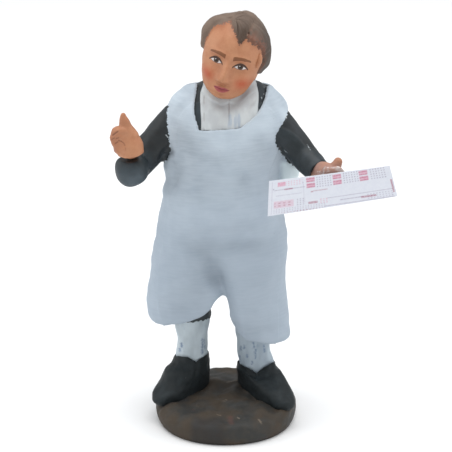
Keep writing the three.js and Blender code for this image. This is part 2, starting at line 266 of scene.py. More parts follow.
def carved(form, cutter):
    """A closed form less another, by a Boolean of their meshes."""
    made = holder("carved", *form)
    tool = holder("cutter", *cutter)
    cut = made.modifiers.new("cut", "BOOLEAN")
    cut.operation = "DIFFERENCE"
    cut.solver = "FAST"
    cut.object = tool
    made.modifiers.new("triangles", "TRIANGULATE")
    result = settled(made)
    bpy.data.objects.remove(tool)
    return result


def pressed(forms, voxel):
    """Closed forms pressed into one body: their union, resampled on a lattice of cubes."""
    made = holder("pressed", *together(forms))
    remesh = made.modifiers.new("skin", "REMESH")
    remesh.mode = "VOXEL"
    remesh.voxel_size = voxel
    return settled(made)


def relaxed(points, faces, rounds):
    """Each round moves every vertex half the way to the mean of its neighbours."""
    ends = np.concatenate([np.stack([faces[:, k], np.roll(faces, -1, axis=1)[:, k]], axis=1)
                           for k in range(faces.shape[1])])
    ends = np.concatenate([ends, ends[:, ::-1]])
    count = np.bincount(ends[:, 0], minlength=len(points))
    for _ in range(rounds):
        total = [np.bincount(ends[:, 0], points[ends[:, 1], k], len(points)) for k in range(3)]
        points = points + 0.5 * (np.stack(total, axis=1) / count[:, None] - points)
    return points


def normals(points, faces):
    """Unit normals: at each vertex, the sum of its faces' normals, which are the cross products
    of their diagonals, or of two sides of a triangle."""
    corners = points[faces]
    if faces.shape[1] == 4:
        flat = np.cross(corners[:, 2] - corners[:, 0], corners[:, 3] - corners[:, 1])
    else:
        flat = np.cross(corners[:, 1] - corners[:, 0], corners[:, 2] - corners[:, 0])
    each = np.repeat(flat, faces.shape[1], axis=0)
    total = [np.bincount(faces.ravel(), each[:, k], len(points)) for k in range(3)]
    return unit(np.stack(total, axis=1))


def piece(name, points, faces, finish, replaced, fields=None):
    """A finished piece of the object, from millimetres, with its paint fields as attributes."""
    made = holder(name, points * MM, faces)
    mesh = made.data
    mesh.polygons.foreach_set("use_smooth", np.ones(len(mesh.polygons), bool))
    for field, values in (fields or {}).items():
        attribute = mesh.attributes.new(field, "FLOAT", "POINT")
        attribute.data.foreach_set("value", values.astype(np.float32))
    mesh.materials.append(finish)
    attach(made, "root")
    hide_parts(replaced)


# Finishes

def srgb(*levels):
    """A linear colour from levels of 0 to 255, by the two branches of the sRGB curve."""
    c = np.array(levels) / 255
    return (*np.where(c <= 0.04045, c / 12.92, ((c + 0.055) / 1.055) ** 2.4), 1.0)


def even(level):
    """A grey of one linear level, for a roughness that is mixed as a colour is."""
    return (level,) * 3 + (1,)


class Finish:
    """A painted finish: one principled shader, and short calls that add nodes ahead of it. All
    patterns lie in object coordinates, in millimetres."""

    def __init__(self, name, **settings):
        """A new material whose shader has its settings, and the place in millimetres."""
        self.material = bpy.data.materials.new(name)
        self.material.use_nodes = True
        self.tree = self.material.node_tree
        self.shader = self.tree.nodes["Principled BSDF"]
        for socket, value in settings.items():
            self.shader.inputs[socket.replace("_", " ")].default_value = value
        place = self.add("ShaderNodeTexCoord").outputs["Object"]
        self.place = self.add("ShaderNodeMapping", Vector=place, Scale=(1 / MM,) * 3).outputs[0]

    def add(self, kind, settings=None, **inputs):
        """A node of a kind, with its inputs by their names, or by their numbers after a _."""
        node = self.tree.nodes.new(kind)
        for key, value in (settings or {}).items():
            setattr(node, key, value)
        for key, value in inputs.items():
            self.put(node.inputs[int(key[1:]) if key[0] == "_" else key], value)
        return node

    def put(self, socket, value):
        """A link into a socket, or a constant set on it."""
        if isinstance(value, bpy.types.NodeSocket):
            self.tree.links.new(value, socket)
        else:
            socket.default_value = value

    def noise(self, size, detail=2.0, stretch=(1, 1, 1), turn=(0, 0, 0), roughness=0.5):
        """Noise from 0 to 1 with features about size millimetres, longer along stretch."""
        scale = tuple(1 / (size * s) for s in stretch)
        leaning = self.add("ShaderNodeMapping", Vector=self.place, Rotation=turn).outputs[0]
        sized = self.add("ShaderNodeMapping", Vector=leaning, Scale=scale).outputs[0]
        return self.add("ShaderNodeTexNoise", Vector=sized, Scale=1.0, Detail=detail,
                        Roughness=roughness).outputs[0]

    def field(self, name):
        """A paint field that the piece carries as an attribute."""
        return self.add("ShaderNodeAttribute", {"attribute_name": name}).outputs["Fac"]

    def math(self, operation, a, b):
        """One operation on two values."""
        return self.add("ShaderNodeMath", {"operation": operation}, _0=a, _1=b).outputs[0]

    def sum(self, a, b):
        """a plus b."""
        return self.math("ADD", a, b)

    def times(self, a, b):
        """a times b."""
        return self.math("MULTIPLY", a, b)

    def most(self, a, b):
        """The greater of a and b."""
        return self.math("MAXIMUM", a, b)

    def ramp(self, value, low, high, start=0.0, end=1.0):
        """start where value is low, end where it is high, smooth between."""
        return self.add("ShaderNodeMapRange", {"interpolation_type": "SMOOTHSTEP"}, _0=value,
                        _1=low, _2=high, _3=start, _4=end).outputs[0]

    def ragged(self, field, noise, amount, soft=0.03):
        """1 inside a painted field, with its edge moved by up to half the amount of the noise."""
        shift = self.times(self.sum(noise, -0.5), amount)
        return self.ramp(self.sum(self.field(field), shift), -soft, soft)

    def mix(self, factor, a, b):
        """Colour a where the factor is 0 and b where it is 1, linear between."""
        node = self.add("ShaderNodeMix", {"data_type": "RGBA"})
        for socket, value in ((0, factor), (6, a), (7, b)):
            self.put(node.inputs[socket], value)
        return node.outputs[2]

    def over(self, colour, mask, share, paint):
        """Paint laid over a colour, as thick as the mask, or the field of that name, times the
        share."""
        mask = self.field(mask) if isinstance(mask, str) else mask
        return self.mix(self.times(mask, share), colour, paint)

    def bump(self, height, distance, strength):
        """A normal from a height of 0 to 1 that stands for distance in millimetres."""
        inputs = {"Height": height, "Distance": distance * MM, "Strength": strength}
        return self.add("ShaderNodeBump", **inputs).outputs[0]

    def done(self, colour, roughness=None, normal=None):
        """The material, once its colour, roughness and normal are put on the shader."""
        self.put(self.shader.inputs["Base Color"], colour)
        if roughness is not None:
            self.put(self.shader.inputs["Roughness"], roughness)
        if normal is not None:
            self.put(self.shader.inputs["Normal"], normal)
        return self.material


# Paints that a finish starts from
# The smock's high and low paints are one paint lit above and shaded below: painted light and shade.
SMOCK_LIT_HIGH = srgb(190, 202, 212)
SMOCK_SHADED_LOW = srgb(166, 178, 190)
SMOCK_SHADE = srgb(153, 166, 179)
JACKET_BLACK = srgb(36, 43, 46)
JACKET_WORN = srgb(54, 63, 70)
SHIRT_WHITE = srgb(200, 205, 206)
SHIRT_GREY = srgb(178, 181, 184)
SKIN = srgb(184, 129, 95)
SKIN_WARM = srgb(165, 104, 72)
HAIR = srgb(119, 101, 88)
HAIR_DARK = srgb(84, 70, 60)


def brushed(finish, seed):
    """Fine horizontal brush lines under broader unevenness, as a height."""
    turn = (0.0, 0.06, 0.1 * seed)
    lines = finish.noise(0.22, 3.0, stretch=(7, 7, 1), turn=turn)
    grain = finish.noise(0.35, 3.0)
    return finish.sum(finish.times(lines, 0.45), finish.times(grain, 0.55))


def smock_colour(finish):
    """Pale blue-grey paint, with painted light whiter on the shoulders and chest and painted shade
    darker in the folds and towards the hem, with faint brush lines and a few specks, and painted
    light palest on the web behind the left arm."""
    height = finish.add("ShaderNodeSeparateXYZ", Vector=finish.place).outputs["Z"]
    broad = finish.ramp(finish.noise(5.0, 3.0), 0.35, 0.65)
    lines = finish.ramp(finish.noise(0.26, 3.0, stretch=(10, 10, 1), turn=(0, 0.05, 0)), 0.3, 0.7)
    # Painted light and shade: whiter towards the shoulders, darker towards the hem.
    base = finish.mix(finish.ramp(height, 30.0, 56.0), SMOCK_SHADED_LOW, SMOCK_LIT_HIGH)
    base = finish.over(base, broad, 0.35, SMOCK_SHADE)
    # Painted shade in the folds, dents and hollows of the smock.
    painted_shade = finish.times(finish.field("shade"), finish.ramp(broad, 0.0, 1.0, 0.8, 1.0))
    base = finish.over(base, painted_shade, 0.42, srgb(118, 128, 138))
    base = finish.over(base, lines, finish.ramp(height, 34.0, 50.0, 0.06, 0.16), srgb(216, 224, 230))
    # Painted light: the web of clay behind the left arm, which lies in shade, is painted palest.
    base = finish.over(base, "pale", 0.8, srgb(224, 238, 240))
    specks = finish.ramp(finish.noise(0.55, 2.0), 0.75, 0.79)
    return finish.over(base, specks, 0.35, srgb(112, 122, 132))


def jacket_colour(finish):
    """Matt black paint, bluish and paler where it is worn or thin, with a painted sheen on the front
    of the right forearm, paler at the neck opening, and painted shadow in the hollow of the right
    cuff.
    """
    worn = finish.ramp(finish.noise(2.6, 4.0, stretch=(1, 1, 1.6)), 0.45, 0.75)
    fine = finish.ramp(finish.noise(0.5, 3.0, stretch=(1, 1, 3), turn=(0, 0.8, 0)), 0.4, 0.75)
    base = finish.over(JACKET_BLACK, worn, 0.7, JACKET_WORN)
    base = finish.over(base, fine, 0.25, srgb(56, 64, 68))
    # Painted sheen: the front of the right forearm is painted paler and bluish where light catches it;
    # the black at the neck opening is paler too.
    sheen_and_pale_neck = finish.times(finish.field("sheen_and_pale_neck"), finish.ramp(worn, 0.0, 1.0, 0.7, 1.0))
    base = finish.over(base, sheen_and_pale_neck, 0.75, srgb(80, 92, 100))
    # Painted shadow: the hollow of the right cuff under the hand is painted dark brown.
    return finish.over(base, "hollow", 0.95, srgb(30, 27, 26))


def dressed_finish():
    """The smock, the jacket sleeves and the jacket at the neck, with ragged brush edges, a pale smear
    beside the neck that also lays painted light over the shadow of its edge, painted shade in the
    armpit and stray dabs of white."""
    finish = Finish("smock_and_jacket_paint", Specular_IOR_Level=0.35)
    hairs = finish.noise(0.45, 5.0, stretch=(1.4, 1, 1), turn=(0, 0.25, 0), roughness=0.65)
    sleeve = finish.ragged("sleeve", finish.ramp(hairs, 0.3, 0.7), 0.34)
    opening = finish.ragged("opening", finish.noise(0.5, 2.0), 0.16)
    black = finish.most(sleeve, opening)
    colour = finish.mix(black, smock_colour(finish), jacket_colour(finish))
    # A pale smear of white paint beside the neck, laid also as painted light over the shadow of the
    # opening's edge.
    colour = finish.over(colour, "smear_and_lit_edge", finish.ramp(hairs, 0.3, 0.7, 0.25, 0.8), srgb(202, 209, 212))
    # Painted shade in the armpit.
    colour = finish.over(colour, "armpit_shade", 0.55, srgb(50, 58, 64))
    dabs = finish.ragged("dabs", finish.noise(0.25, 2.0), 0.3, 0.05)
    colour = finish.over(colour, dabs, 0.8, srgb(190, 198, 202))
    height = brushed(finish, 1)
    rough = finish.mix(black, even(0.8), even(0.5))
    return finish.done(colour, rough, finish.bump(height, 0.08, 0.35))


def plain_skin(finish):
    """Terracotta skin paint, warmer and darker in soft patches."""
    patches = finish.ramp(finish.noise(1.6, 3.0), 0.35, 0.7)
    fine = finish.ramp(finish.noise(0.3, 3.0), 0.3, 0.75)
    base = finish.over(SKIN, patches, 0.45, SKIN_WARM)
    return finish.over(base, fine, 0.12, srgb(212, 160, 122))


def hand_finish():
    """Skin paint, ruddy on the fingers and pale under glue, with painted shade of brown in the
    scored creases.
    """
    finish = Finish("skin_paint", Specular_IOR_Level=0.4, Roughness=0.55)
    colour = plain_skin(finish)
    colour = finish.over(colour, "ruddy", 0.55, srgb(150, 96, 70))
    colour = finish.over(colour, "pale", 0.9, srgb(160, 130, 124))
    # Painted shade: the scored creases are painted brown.
    crease = finish.ramp(finish.field("crease"), 0.0, 1.0)
    colour = finish.over(colour, crease, 0.6, srgb(104, 64, 46))
    return finish.done(colour, None, finish.bump(finish.noise(0.3, 3.0), 0.05, 0.4))


def head_finish():
    """Skin, painted features and hair, each in its own field. The hair is darker by the parting,
    with painted shade on its right side and in its grooves, and thin and reddish at the ends of the
    locks, with pale flecks."""
    finish = Finish("face_and_hair_paint", Specular_IOR_Level=0.4)
    wander = finish.noise(0.35, 2.0)
    colour = plain_skin(finish)
    blush = finish.times(finish.field("blush"), finish.ramp(wander, 0.1, 0.9, 0.75, 1.0))
    colour = finish.over(colour, blush, 0.9, srgb(176, 74, 38))
    colour = finish.over(colour, "shade", 0.5, srgb(132, 76, 50))
    colour = finish.over(colour, "rim_shade", 0.65, srgb(146, 84, 54))
    for field, amount, paint, strength in (
        ("brow", 0.16, srgb(118, 72, 42), 0.92),
        ("eye_white", 0.03, srgb(212, 206, 204), 1.0),
        ("iris", 0.03, srgb(74, 56, 44), 1.0),
        ("pupil", 0.02, srgb(34, 27, 25), 1.0),
        ("glint", 0.01, srgb(226, 224, 222), 0.9),
        ("lid", 0.06, srgb(70, 48, 38), 1.0),
        ("under_lid", 0.04, srgb(116, 74, 56), 0.75),
        ("lips", 0.06, srgb(160, 76, 78), 0.95),
        ("mouth_line", 0.03, srgb(108, 42, 52), 0.9),
    ):
        painted = finish.ragged(field, wander, amount, 0.035)
        colour = finish.over(colour, painted, strength, paint)
    hair = finish.ragged("hair", finish.ramp(finish.noise(0.3, 3.0), 0.3, 0.7), 0.24, 0.05)
    streaks = finish.ramp(finish.noise(1.1, 4.0, roughness=0.6), 0.35, 0.7)
    locks = finish.over(HAIR, streaks, 0.5, srgb(106, 89, 78))
    # Painted shade: the right side of the hair is painted darker.
    locks = finish.over(locks, "right_side", 0.85, srgb(66, 57, 50))
    locks = finish.over(locks, "dark_lock", 0.85, srgb(72, 55, 43))
    # Painted shade in the grooves between the locks and in the creases by the parting.
    locks = finish.over(locks, "groove", 0.6, HAIR_DARK)
    ends = finish.times(finish.field("thin"), finish.ramp(finish.noise(0.5, 3.0), 0.35, 0.55))
    locks = finish.over(locks, ends, 0.8, srgb(134, 84, 64))
    colour = finish.mix(hair, colour, locks)
    flecks = finish.ragged("flecks", wander, 0.12)
    colour = finish.over(colour, flecks, 0.8, srgb(214, 182, 150))
    rough = finish.mix(hair, even(0.55), even(0.62))
    height = finish.sum(finish.times(finish.noise(0.3, 3.0), 0.6), finish.times(hair, 0.1))
    return finish.done(colour, rough, finish.bump(height, 0.06, 0.4))


def shirt_finish():
    """White paint thinned to grey in patches, with painted shade in the hollows, a few bluish touches
    and a whiter patch."""
    finish = Finish("shirt_paint", Specular_IOR_Level=0.35, Roughness=0.7)
    broad = finish.ramp(finish.noise(1.6, 3.0, stretch=(1, 1, 1.6)), 0.35, 0.7)
    colour = finish.over(SHIRT_WHITE, broad, 0.6, SHIRT_GREY)
    # Painted shade under the collar and the chin, on the collar's right wing and in the seam and
    # placket lines.
    colour = finish.over(colour, "shade", 0.8, srgb(138, 131, 130))
    upright = finish.noise(0.35, 2.0, stretch=(1, 1, 4))
    blue = finish.ragged("blue", upright, 0.7, 0.25)
    colour = finish.over(colour, blue, 0.5, srgb(150, 166, 186))
    white = finish.ragged("patch", finish.noise(0.5, 2.0), 0.5, 0.2)
    colour = finish.over(colour, white, 0.3, srgb(212, 216, 216))
    return finish.done(colour, None, finish.bump(brushed(finish, 2), 0.08, 0.4))


def stocking_finish(name, light, dark):
    """Off-white paint with soft upright brush marks and a few blue-grey touches."""
    finish = Finish(name, Specular_IOR_Level=0.35, Roughness=0.7)
    upright = finish.ramp(finish.noise(1.6, 2.0, stretch=(1, 1, 2.6)), 0.3, 0.75)
    colour = finish.mix(upright, light, dark)
    touches = finish.ramp(finish.noise(0.9, 2.0, stretch=(1, 1, 1.8)), 0.6, 0.75)
    colour = finish.over(colour, touches, 0.3, srgb(124, 142, 160))
    dabs = finish.ragged("dabs", finish.noise(0.35, 2.0), 0.6, 0.2)
    colour = finish.over(colour, dabs, 0.75, srgb(98, 118, 148))
    return finish.done(colour, None, finish.bump(finish.noise(0.5, 3.0), 0.08, 0.3))


def shoe_finish():
    """Charcoal paint, a little paler where it is worn, with a pale mark on the toe."""
    finish = Finish("shoe_paint", Specular_IOR_Level=0.3, Roughness=0.6)
    worn = finish.ramp(finish.noise(2.4, 4.0), 0.4, 0.75)
    colour = finish.over(srgb(26, 32, 34), worn, 0.7, srgb(40, 48, 51))
    marks = finish.ragged("marks", finish.noise(0.2, 2.0), 0.1)
    colour = finish.over(colour, marks, 0.5, srgb(92, 98, 98))
    return finish.done(colour, None, finish.bump(finish.noise(0.5, 4.0), 0.12, 0.4))


def breeches_finish():
    """Dark paint under the hem, with a few pale flecks."""
    finish = Finish("breeches_paint", Specular_IOR_Level=0.35, Roughness=0.6)
    flecks = finish.ramp(finish.noise(0.6, 2.0), 0.68, 0.74)
    colour = finish.over(srgb(54, 60, 62), flecks, 0.7, srgb(150, 158, 160))
    return finish.done(colour, None, finish.bump(finish.noise(0.4, 3.0), 0.08, 0.4))


def base_finish():
    """Brown and grey earth paint in broad patches, with strokes of dark, one of them painted shadow
    beside the right shoe, and of red, and pale scratches."""
    finish = Finish("base_paint", Specular_IOR_Level=0.3)
    broad = finish.ramp(finish.noise(4.5, 3.0), 0.4, 0.65)
    colour = finish.mix(broad, srgb(66, 57, 47), srgb(52, 52, 50))
    fine = finish.ramp(finish.noise(0.9, 3.0), 0.4, 0.75)
    colour = finish.over(colour, fine, 0.25, srgb(76, 67, 57))
    # Dark strokes, one of them painted shadow beside the right shoe.
    colour = finish.over(colour, "dark", 0.6, srgb(40, 41, 43))
    colour = finish.over(colour, "red", 0.4, srgb(96, 62, 54))
    marks = finish.ragged("marks", finish.noise(0.25, 3.0), 0.3, 0.06)
    colour = finish.over(colour, marks, 0.5, srgb(130, 118, 104))
    rough = finish.ramp(broad, 0.0, 1.0, 0.72, 0.6)
    return finish.done(colour, rough, finish.bump(finish.noise(0.8, 3.0), 0.12, 0.4))


def paper_finish():
    """Thin coated paper of a lilac white, printed in soft pink, grey and red ink."""
    finish = Finish("printed_paper", Specular_IOR_Level=0.5, Roughness=0.5)
    fibres = finish.ramp(finish.noise(0.5, 3.0), 0.3, 0.7)
    colour = finish.over(srgb(222, 225, 233), fibres, 0.3, srgb(208, 211, 224))
    uneven = finish.ramp(finish.noise(0.2, 2.0), 0.25, 0.7, 0.55, 1.0)
    for field, ink in (("pink_ink", srgb(216, 128, 158)), ("grey_ink", srgb(140, 124, 152)),
                       ("red_ink", srgb(156, 44, 84))):
        colour = finish.over(colour, field, uneven, ink)
    return finish.done(colour)


def glue_finish():
    """Half clear dried glue, whitish where it is thick."""
    finish = Finish("glue", Roughness=0.2, IOR=1.46, Transmission_Weight=0.3, Coat_Weight=0.6)
    clouds = finish.ramp(finish.noise(0.7, 2.0), 0.4, 0.65)
    colour = finish.mix(clouds, srgb(190, 146, 130), srgb(216, 200, 194))
    return finish.done(colour)


# The dressed body

# Rows of the smock, as level_stack takes them.
SMOCK_ROWS = [
    [13.7, -0.95, BODY_Y, 11.9, 5.9, 6.0],
    [15.5, -1.2, BODY_Y, 12.1, 6.3, 6.4],
    [20.0, -1.4, BODY_Y, 11.9, 6.6, 6.5],
    [24.0, -1.35, BODY_Y, 11.6, 7.0, 6.5],
    [28.0, -1.1, BODY_Y, 11.5, 7.2, 6.4],
    [32.0, -0.95, BODY_Y, 10.8, 7.1, 6.2],
    [36.0, -0.75, BODY_Y, 10.2, 8.2, 5.9],
    [39.5, -0.8, BODY_Y, 9.5, 7.6, 5.5],
    [43.0, -0.55, BODY_Y, 9.3, 6.3, 5.2],
    [47.0, 0.0, BODY_Y, 9.7, 6.8, 5.2],
    [50.8, 0.3, BODY_Y, 9.9, 6.7, 5.2],
    [53.8, CHEST_X, BODY_Y, CHEST_HALF, 5.7, 4.8],
    [56.0, 0.25, BODY_Y, 8.7, 4.6, 4.2],
    [58.4, 0.68, BODY_Y, 5.35, 3.4, 3.5],
]
# The middle of each arm from the shoulder to the cuff, and its radius there.
ARMS = {
    "right": [(-6.7, 2.2, 53.4), (-11.1, 1.2, 48.6), (-14.75, -0.7, 44.8), (-15.25, -3.7, 45.1)],
    "left": [(7.2, 1.2, 53.0), (10.2, 0.1, 49.4), (12.3, -0.5, 46.8), (15.1, -4.1, 44.8)],
}
ARM_RADII = {"right": [2.8, 2.85, 2.76, 2.8], "left": [2.8, 2.6, 2.42, 2.15]}


def hem_rise(x):
    """How far the hem stands over its lowest row: smooth curves over the right leg, where it
    rises to the gap, and over the left, where it falls away from the gap."""
    over_right = between(-13, -1, [3.3, 3.0, 3.65, 4.3, 5.0, 6.3, 8.3], x)
    over_left = between(1, 11, [3.2, 1.3, 0.7, 0.15, -0.3, -0.2], x)
    return np.where(x < -0.6, over_right, over_left)


def smock_form():
    """Level rings up the smock rows. At the front the cloth sinks between the thighs, under the
    belly, at the waist and beside the chest, and at the sides it swells and tucks in, all by bells
    of the place. The hem follows hem_rise."""
    points = level_stack(SMOCK_ROWS, (-0.5, 0.4), SMOCK_SQUARE, slices=240, stacks=200, lid=0.06)
    x, y, z = np.moveaxis(points, -1, 0)
    front = step(BODY_Y + 2, BODY_Y - 3, y)
    right_flank = step(-7, -9, x)
    left_flank = step(7, 10, x)
    valley = step(34, 25, z) * bump(x + 1.7 + 0.18 * (z - 28), 2.1 - 0.5 * step(27, 22, z))
    thighs = spot(x, z, -6.8, 26, 3.0, 5) + spot(x, z, 4.8, 25, 2.6, 5)
    crease = bump(z - 32.9 - 0.05 * x, 1.7) * (bump(x - 2.8, 3.9) + 0.45 * bump(x + 4.0, 3.0))
    waist = bump(z - 43.2, 1.9) * (0.4 + 0.5 * bump(x - 2.9, 1.6) + 0.7 * bump(x + 8.2, 1.8)
                                  + 0.4 * bump(x + 2.5, 2.2))
    chest = spot(x, z, 0.9, 48.6, 3.8, 2.6)
    beside = spot(x, z, -6.4, 48.3, 2.0, 2.7) + 0.5 * spot(x, z, 6.6, 46.5, 1.6, 2.4)
    hip = bump(z - 32.7, 3.4) * left_flank
    tuck = bump(z - 25.4, 3.6) * left_flank
    swell = bump(z - 46.6, 1.3) + 0.65 * bump(z - 44.2, 1.2) + 0.25 * bump(z - 40.0, 1.2)
    pinch = bump(z - 26, 4) * right_flank
    y = y + front * (2.2 * valley + 0.75 * crease + 0.4 * waist + 0.75 * beside - 0.5 * chest
                     - 0.5 * thighs)
    y = y - (1 - front) * (0.9 * step(34, 22, z) * bump(x + 0.8, 2.8))
    x = x + 0.45 * hip - 0.3 * tuck - 0.9 * swell * right_flank + 0.2 * pinch
    z = z + hem_rise(x) * (1 - step(13.8, 29, z))
    return skin(np.stack([x, y, z], axis=-1))


def bezier(a, b, c, d):
    """The cubic Bezier curve from a to d with the handles b and c."""
    t = np.linspace(0, 1, 40)[:, None]
    rest = 1 - t
    return (rest ** 3 * np.array(a) + 3 * rest ** 2 * t * np.array(b)
            + 3 * rest * t ** 2 * np.array(c) + t ** 3 * np.array(d))


def arch_cutter():
    """The arch between the legs, carried straight from front to back: two upright sides that run
    out below the hem, and a round top of two Bezier curves that meet level."""
    top = (-0.6, 22.65)
    right_side = (-3.3, 6.0)
    left_side = [(2.0, 14.5), (2.2, 6.0)]
    rising = bezier((-3.1, 16.5), (-2.75, 19.2), (-2.5, top[1]), top)
    falling = bezier(top, (0.75, top[1]), (0.1, 19.2), (1.2, 16.5))
    outline = np.concatenate([[right_side], rising, falling[1:], left_side])
    ring = np.stack([outline[:, 0], np.zeros(len(outline)), outline[:, 1]], axis=-1)
    middle = np.tile([[top[0], 0, 14.0]], (len(outline), 1))
    through_all = np.array([0, 20, 0])
    return skin(np.stack([middle - through_all, ring - through_all, ring + through_all,
                          middle + through_all]))


def arm_reach(points, side):
    """How far outside a sleeve a point lies: the least distance to the arm's path, less the
    radius there."""
    t = np.linspace(0, 1, 60)
    path, radii = through(ARMS[side], t), through(ARM_RADII[side], t)
    away = np.linalg.norm(points[:, None, :] - path[None], axis=-1) - radii
    return away.min(axis=1)


def opening_field(points):
    """How far inside the neck opening a point lies: a U at the front between two curved edges and
    over the neckline, joined by a smooth minimum, and a level edge behind the neck."""
    x, y, z = points.T
    left = between(52, 60, [-4.5, -5.05, -5.1, -4.8, -4.2], z)
    right = between(52, 60, [2.2, 4.7, 6.1, 6.8, 7.0], z)
    low = NECKLINE_Z - 0.5 + 0.3 * step(-4.6, -3.4, -x) + 0.08 * (x + 3)
    sides = np.minimum(x - left, right - x)
    corner = -np.log(np.exp(-6 * sides) + np.exp(-6 * (z - low))) / 6
    behind = z - NECK_BACK_Z
    share = step(0.8, 3.0, y)
    return corner * (1 - share) + behind * share


def sleeve_field(points):
    """How far inside a sleeve's paint a point lies. The armhole runs down each shoulder along a
    curve of x by height, and the sleeve is what lies near the arm's path beyond it."""
    x, y, z = points.T
    right_edge = between(44, 56, [-10.6, -9.2, -9.2, -9.6, -9.3], z)
    left_edge = between(44, 56, [10.2, 9.0, 7.9, 9.7, 12.0], z)
    back = step(0.5, 4.0, y)
    reach = {side: arm_reach(points, side) for side in ARMS}
    right = np.minimum(right_edge - 0.2 * back - x, 0.55 - reach["right"])
    near = np.maximum(0.5 - reach["left"], np.minimum(z - 47.4, 1.8 - reach["left"]))
    left = np.minimum(x - left_edge - 0.8 * back, near)
    return np.maximum(right, left)


# White paint that strayed on the sleeves and the jacket: strokes as the front shows them.
STRAY_PAINT = [
    ((-9.7, 49.7), (-9.2, 49.1), 0.14), ((-9.4, 49.6), (-9.3, 49.2), 0.12),
    ((10.2, 54.3), (10.6, 53.3), 0.3), ((9.6, 53.1), (9.7, 52.5), 0.22),
    ((13.05, 48.2), (13.35, 47.6), 0.07), ((13.35, 47.6), (13.65, 47.0), 0.07),
    ((9.4, 47.2), (9.6, 46.8), 0.1), ((7.4, 47.2), (7.6, 46.7), 0.1),
    ((9.9, 46.7), (9.9, 46.6), 0.1), ((5.65, 56.0), (5.75, 55.8), 0.12),
    ((6.05, 56.8), (6.1, 56.6), 0.08), ((6.2, 55.7), (6.15, 55.6), 0.08),
    ((5.1, 53.9), (5.15, 53.8), 0.1), ((5.75, 55.1), (5.7, 55.0), 0.08),
    ((5.4, 54.5), (5.4, 54.4), 0.08), ((6.1, 57.9), (6.15, 57.8), 0.07),
    ((-4.35, 54.0), (-4.35, 53.95), 0.07),
]
# Painted shade on the smock: how much, and an oval as spot takes it.
SHADE_SPOTS = [
    (0.4, 2.4, 32.5, 5.2, 1.4), (0.25, -4.5, 31.8, 3.4, 1.8), (0.95, -6.2, 48.8, 3.0, 3.2),
    (0.45, -1.5, 46.8, 3.0, 1.8), (0.6, 5.0, 48.6, 2.6, 3.2), (0.5, 3.0, 44.2, 1.6, 1.9),
    (0.9, -8.9, 44.2, 1.8, 1.9), (0.45, -4.2, 43.6, 2.4, 1.8), (0.55, -3.4, 40.9, 4.5, 1.6),
    (0.3, 3.6, 41.4, 3.0, 1.2), (0.45, -5.5, 26.0, 3.4, 4.4), (0.3, 6.2, 24.0, 2.8, 4.5),
    (0.45, 5.0, 17.0, 5.0, 1.8), (0.35, -7.5, 20.5, 3.5, 2.0), (0.7, -7.6, 56.2, 1.2, 2.0),
    (0.6, 8.0, 55.4, 1.0, 2.2), (0.7, -7.8, 50.6, 1.8, 2.4),
]


def smock_shade(points):
    """Painted shade on the smock, from 0 to 1: at the front a leaning bell between the thighs and the
    shade spots, and a step of the height on the shoulders."""
    x, y, z = points.T
    shade = 0.9 * step(36, 27, z) * bump(x + 2.2 + 0.3 * (z - 28), 2.1) * step(23, 26.5, z)
    for amount, *oval in SHADE_SPOTS:
        shade = shade + amount * spot(x, z, *oval)
    return np.clip(shade * step(-0.5, -2.5, y) + 0.5 * step(53, 56, z) * step(-3.0, -1.0, y), 0, 1)


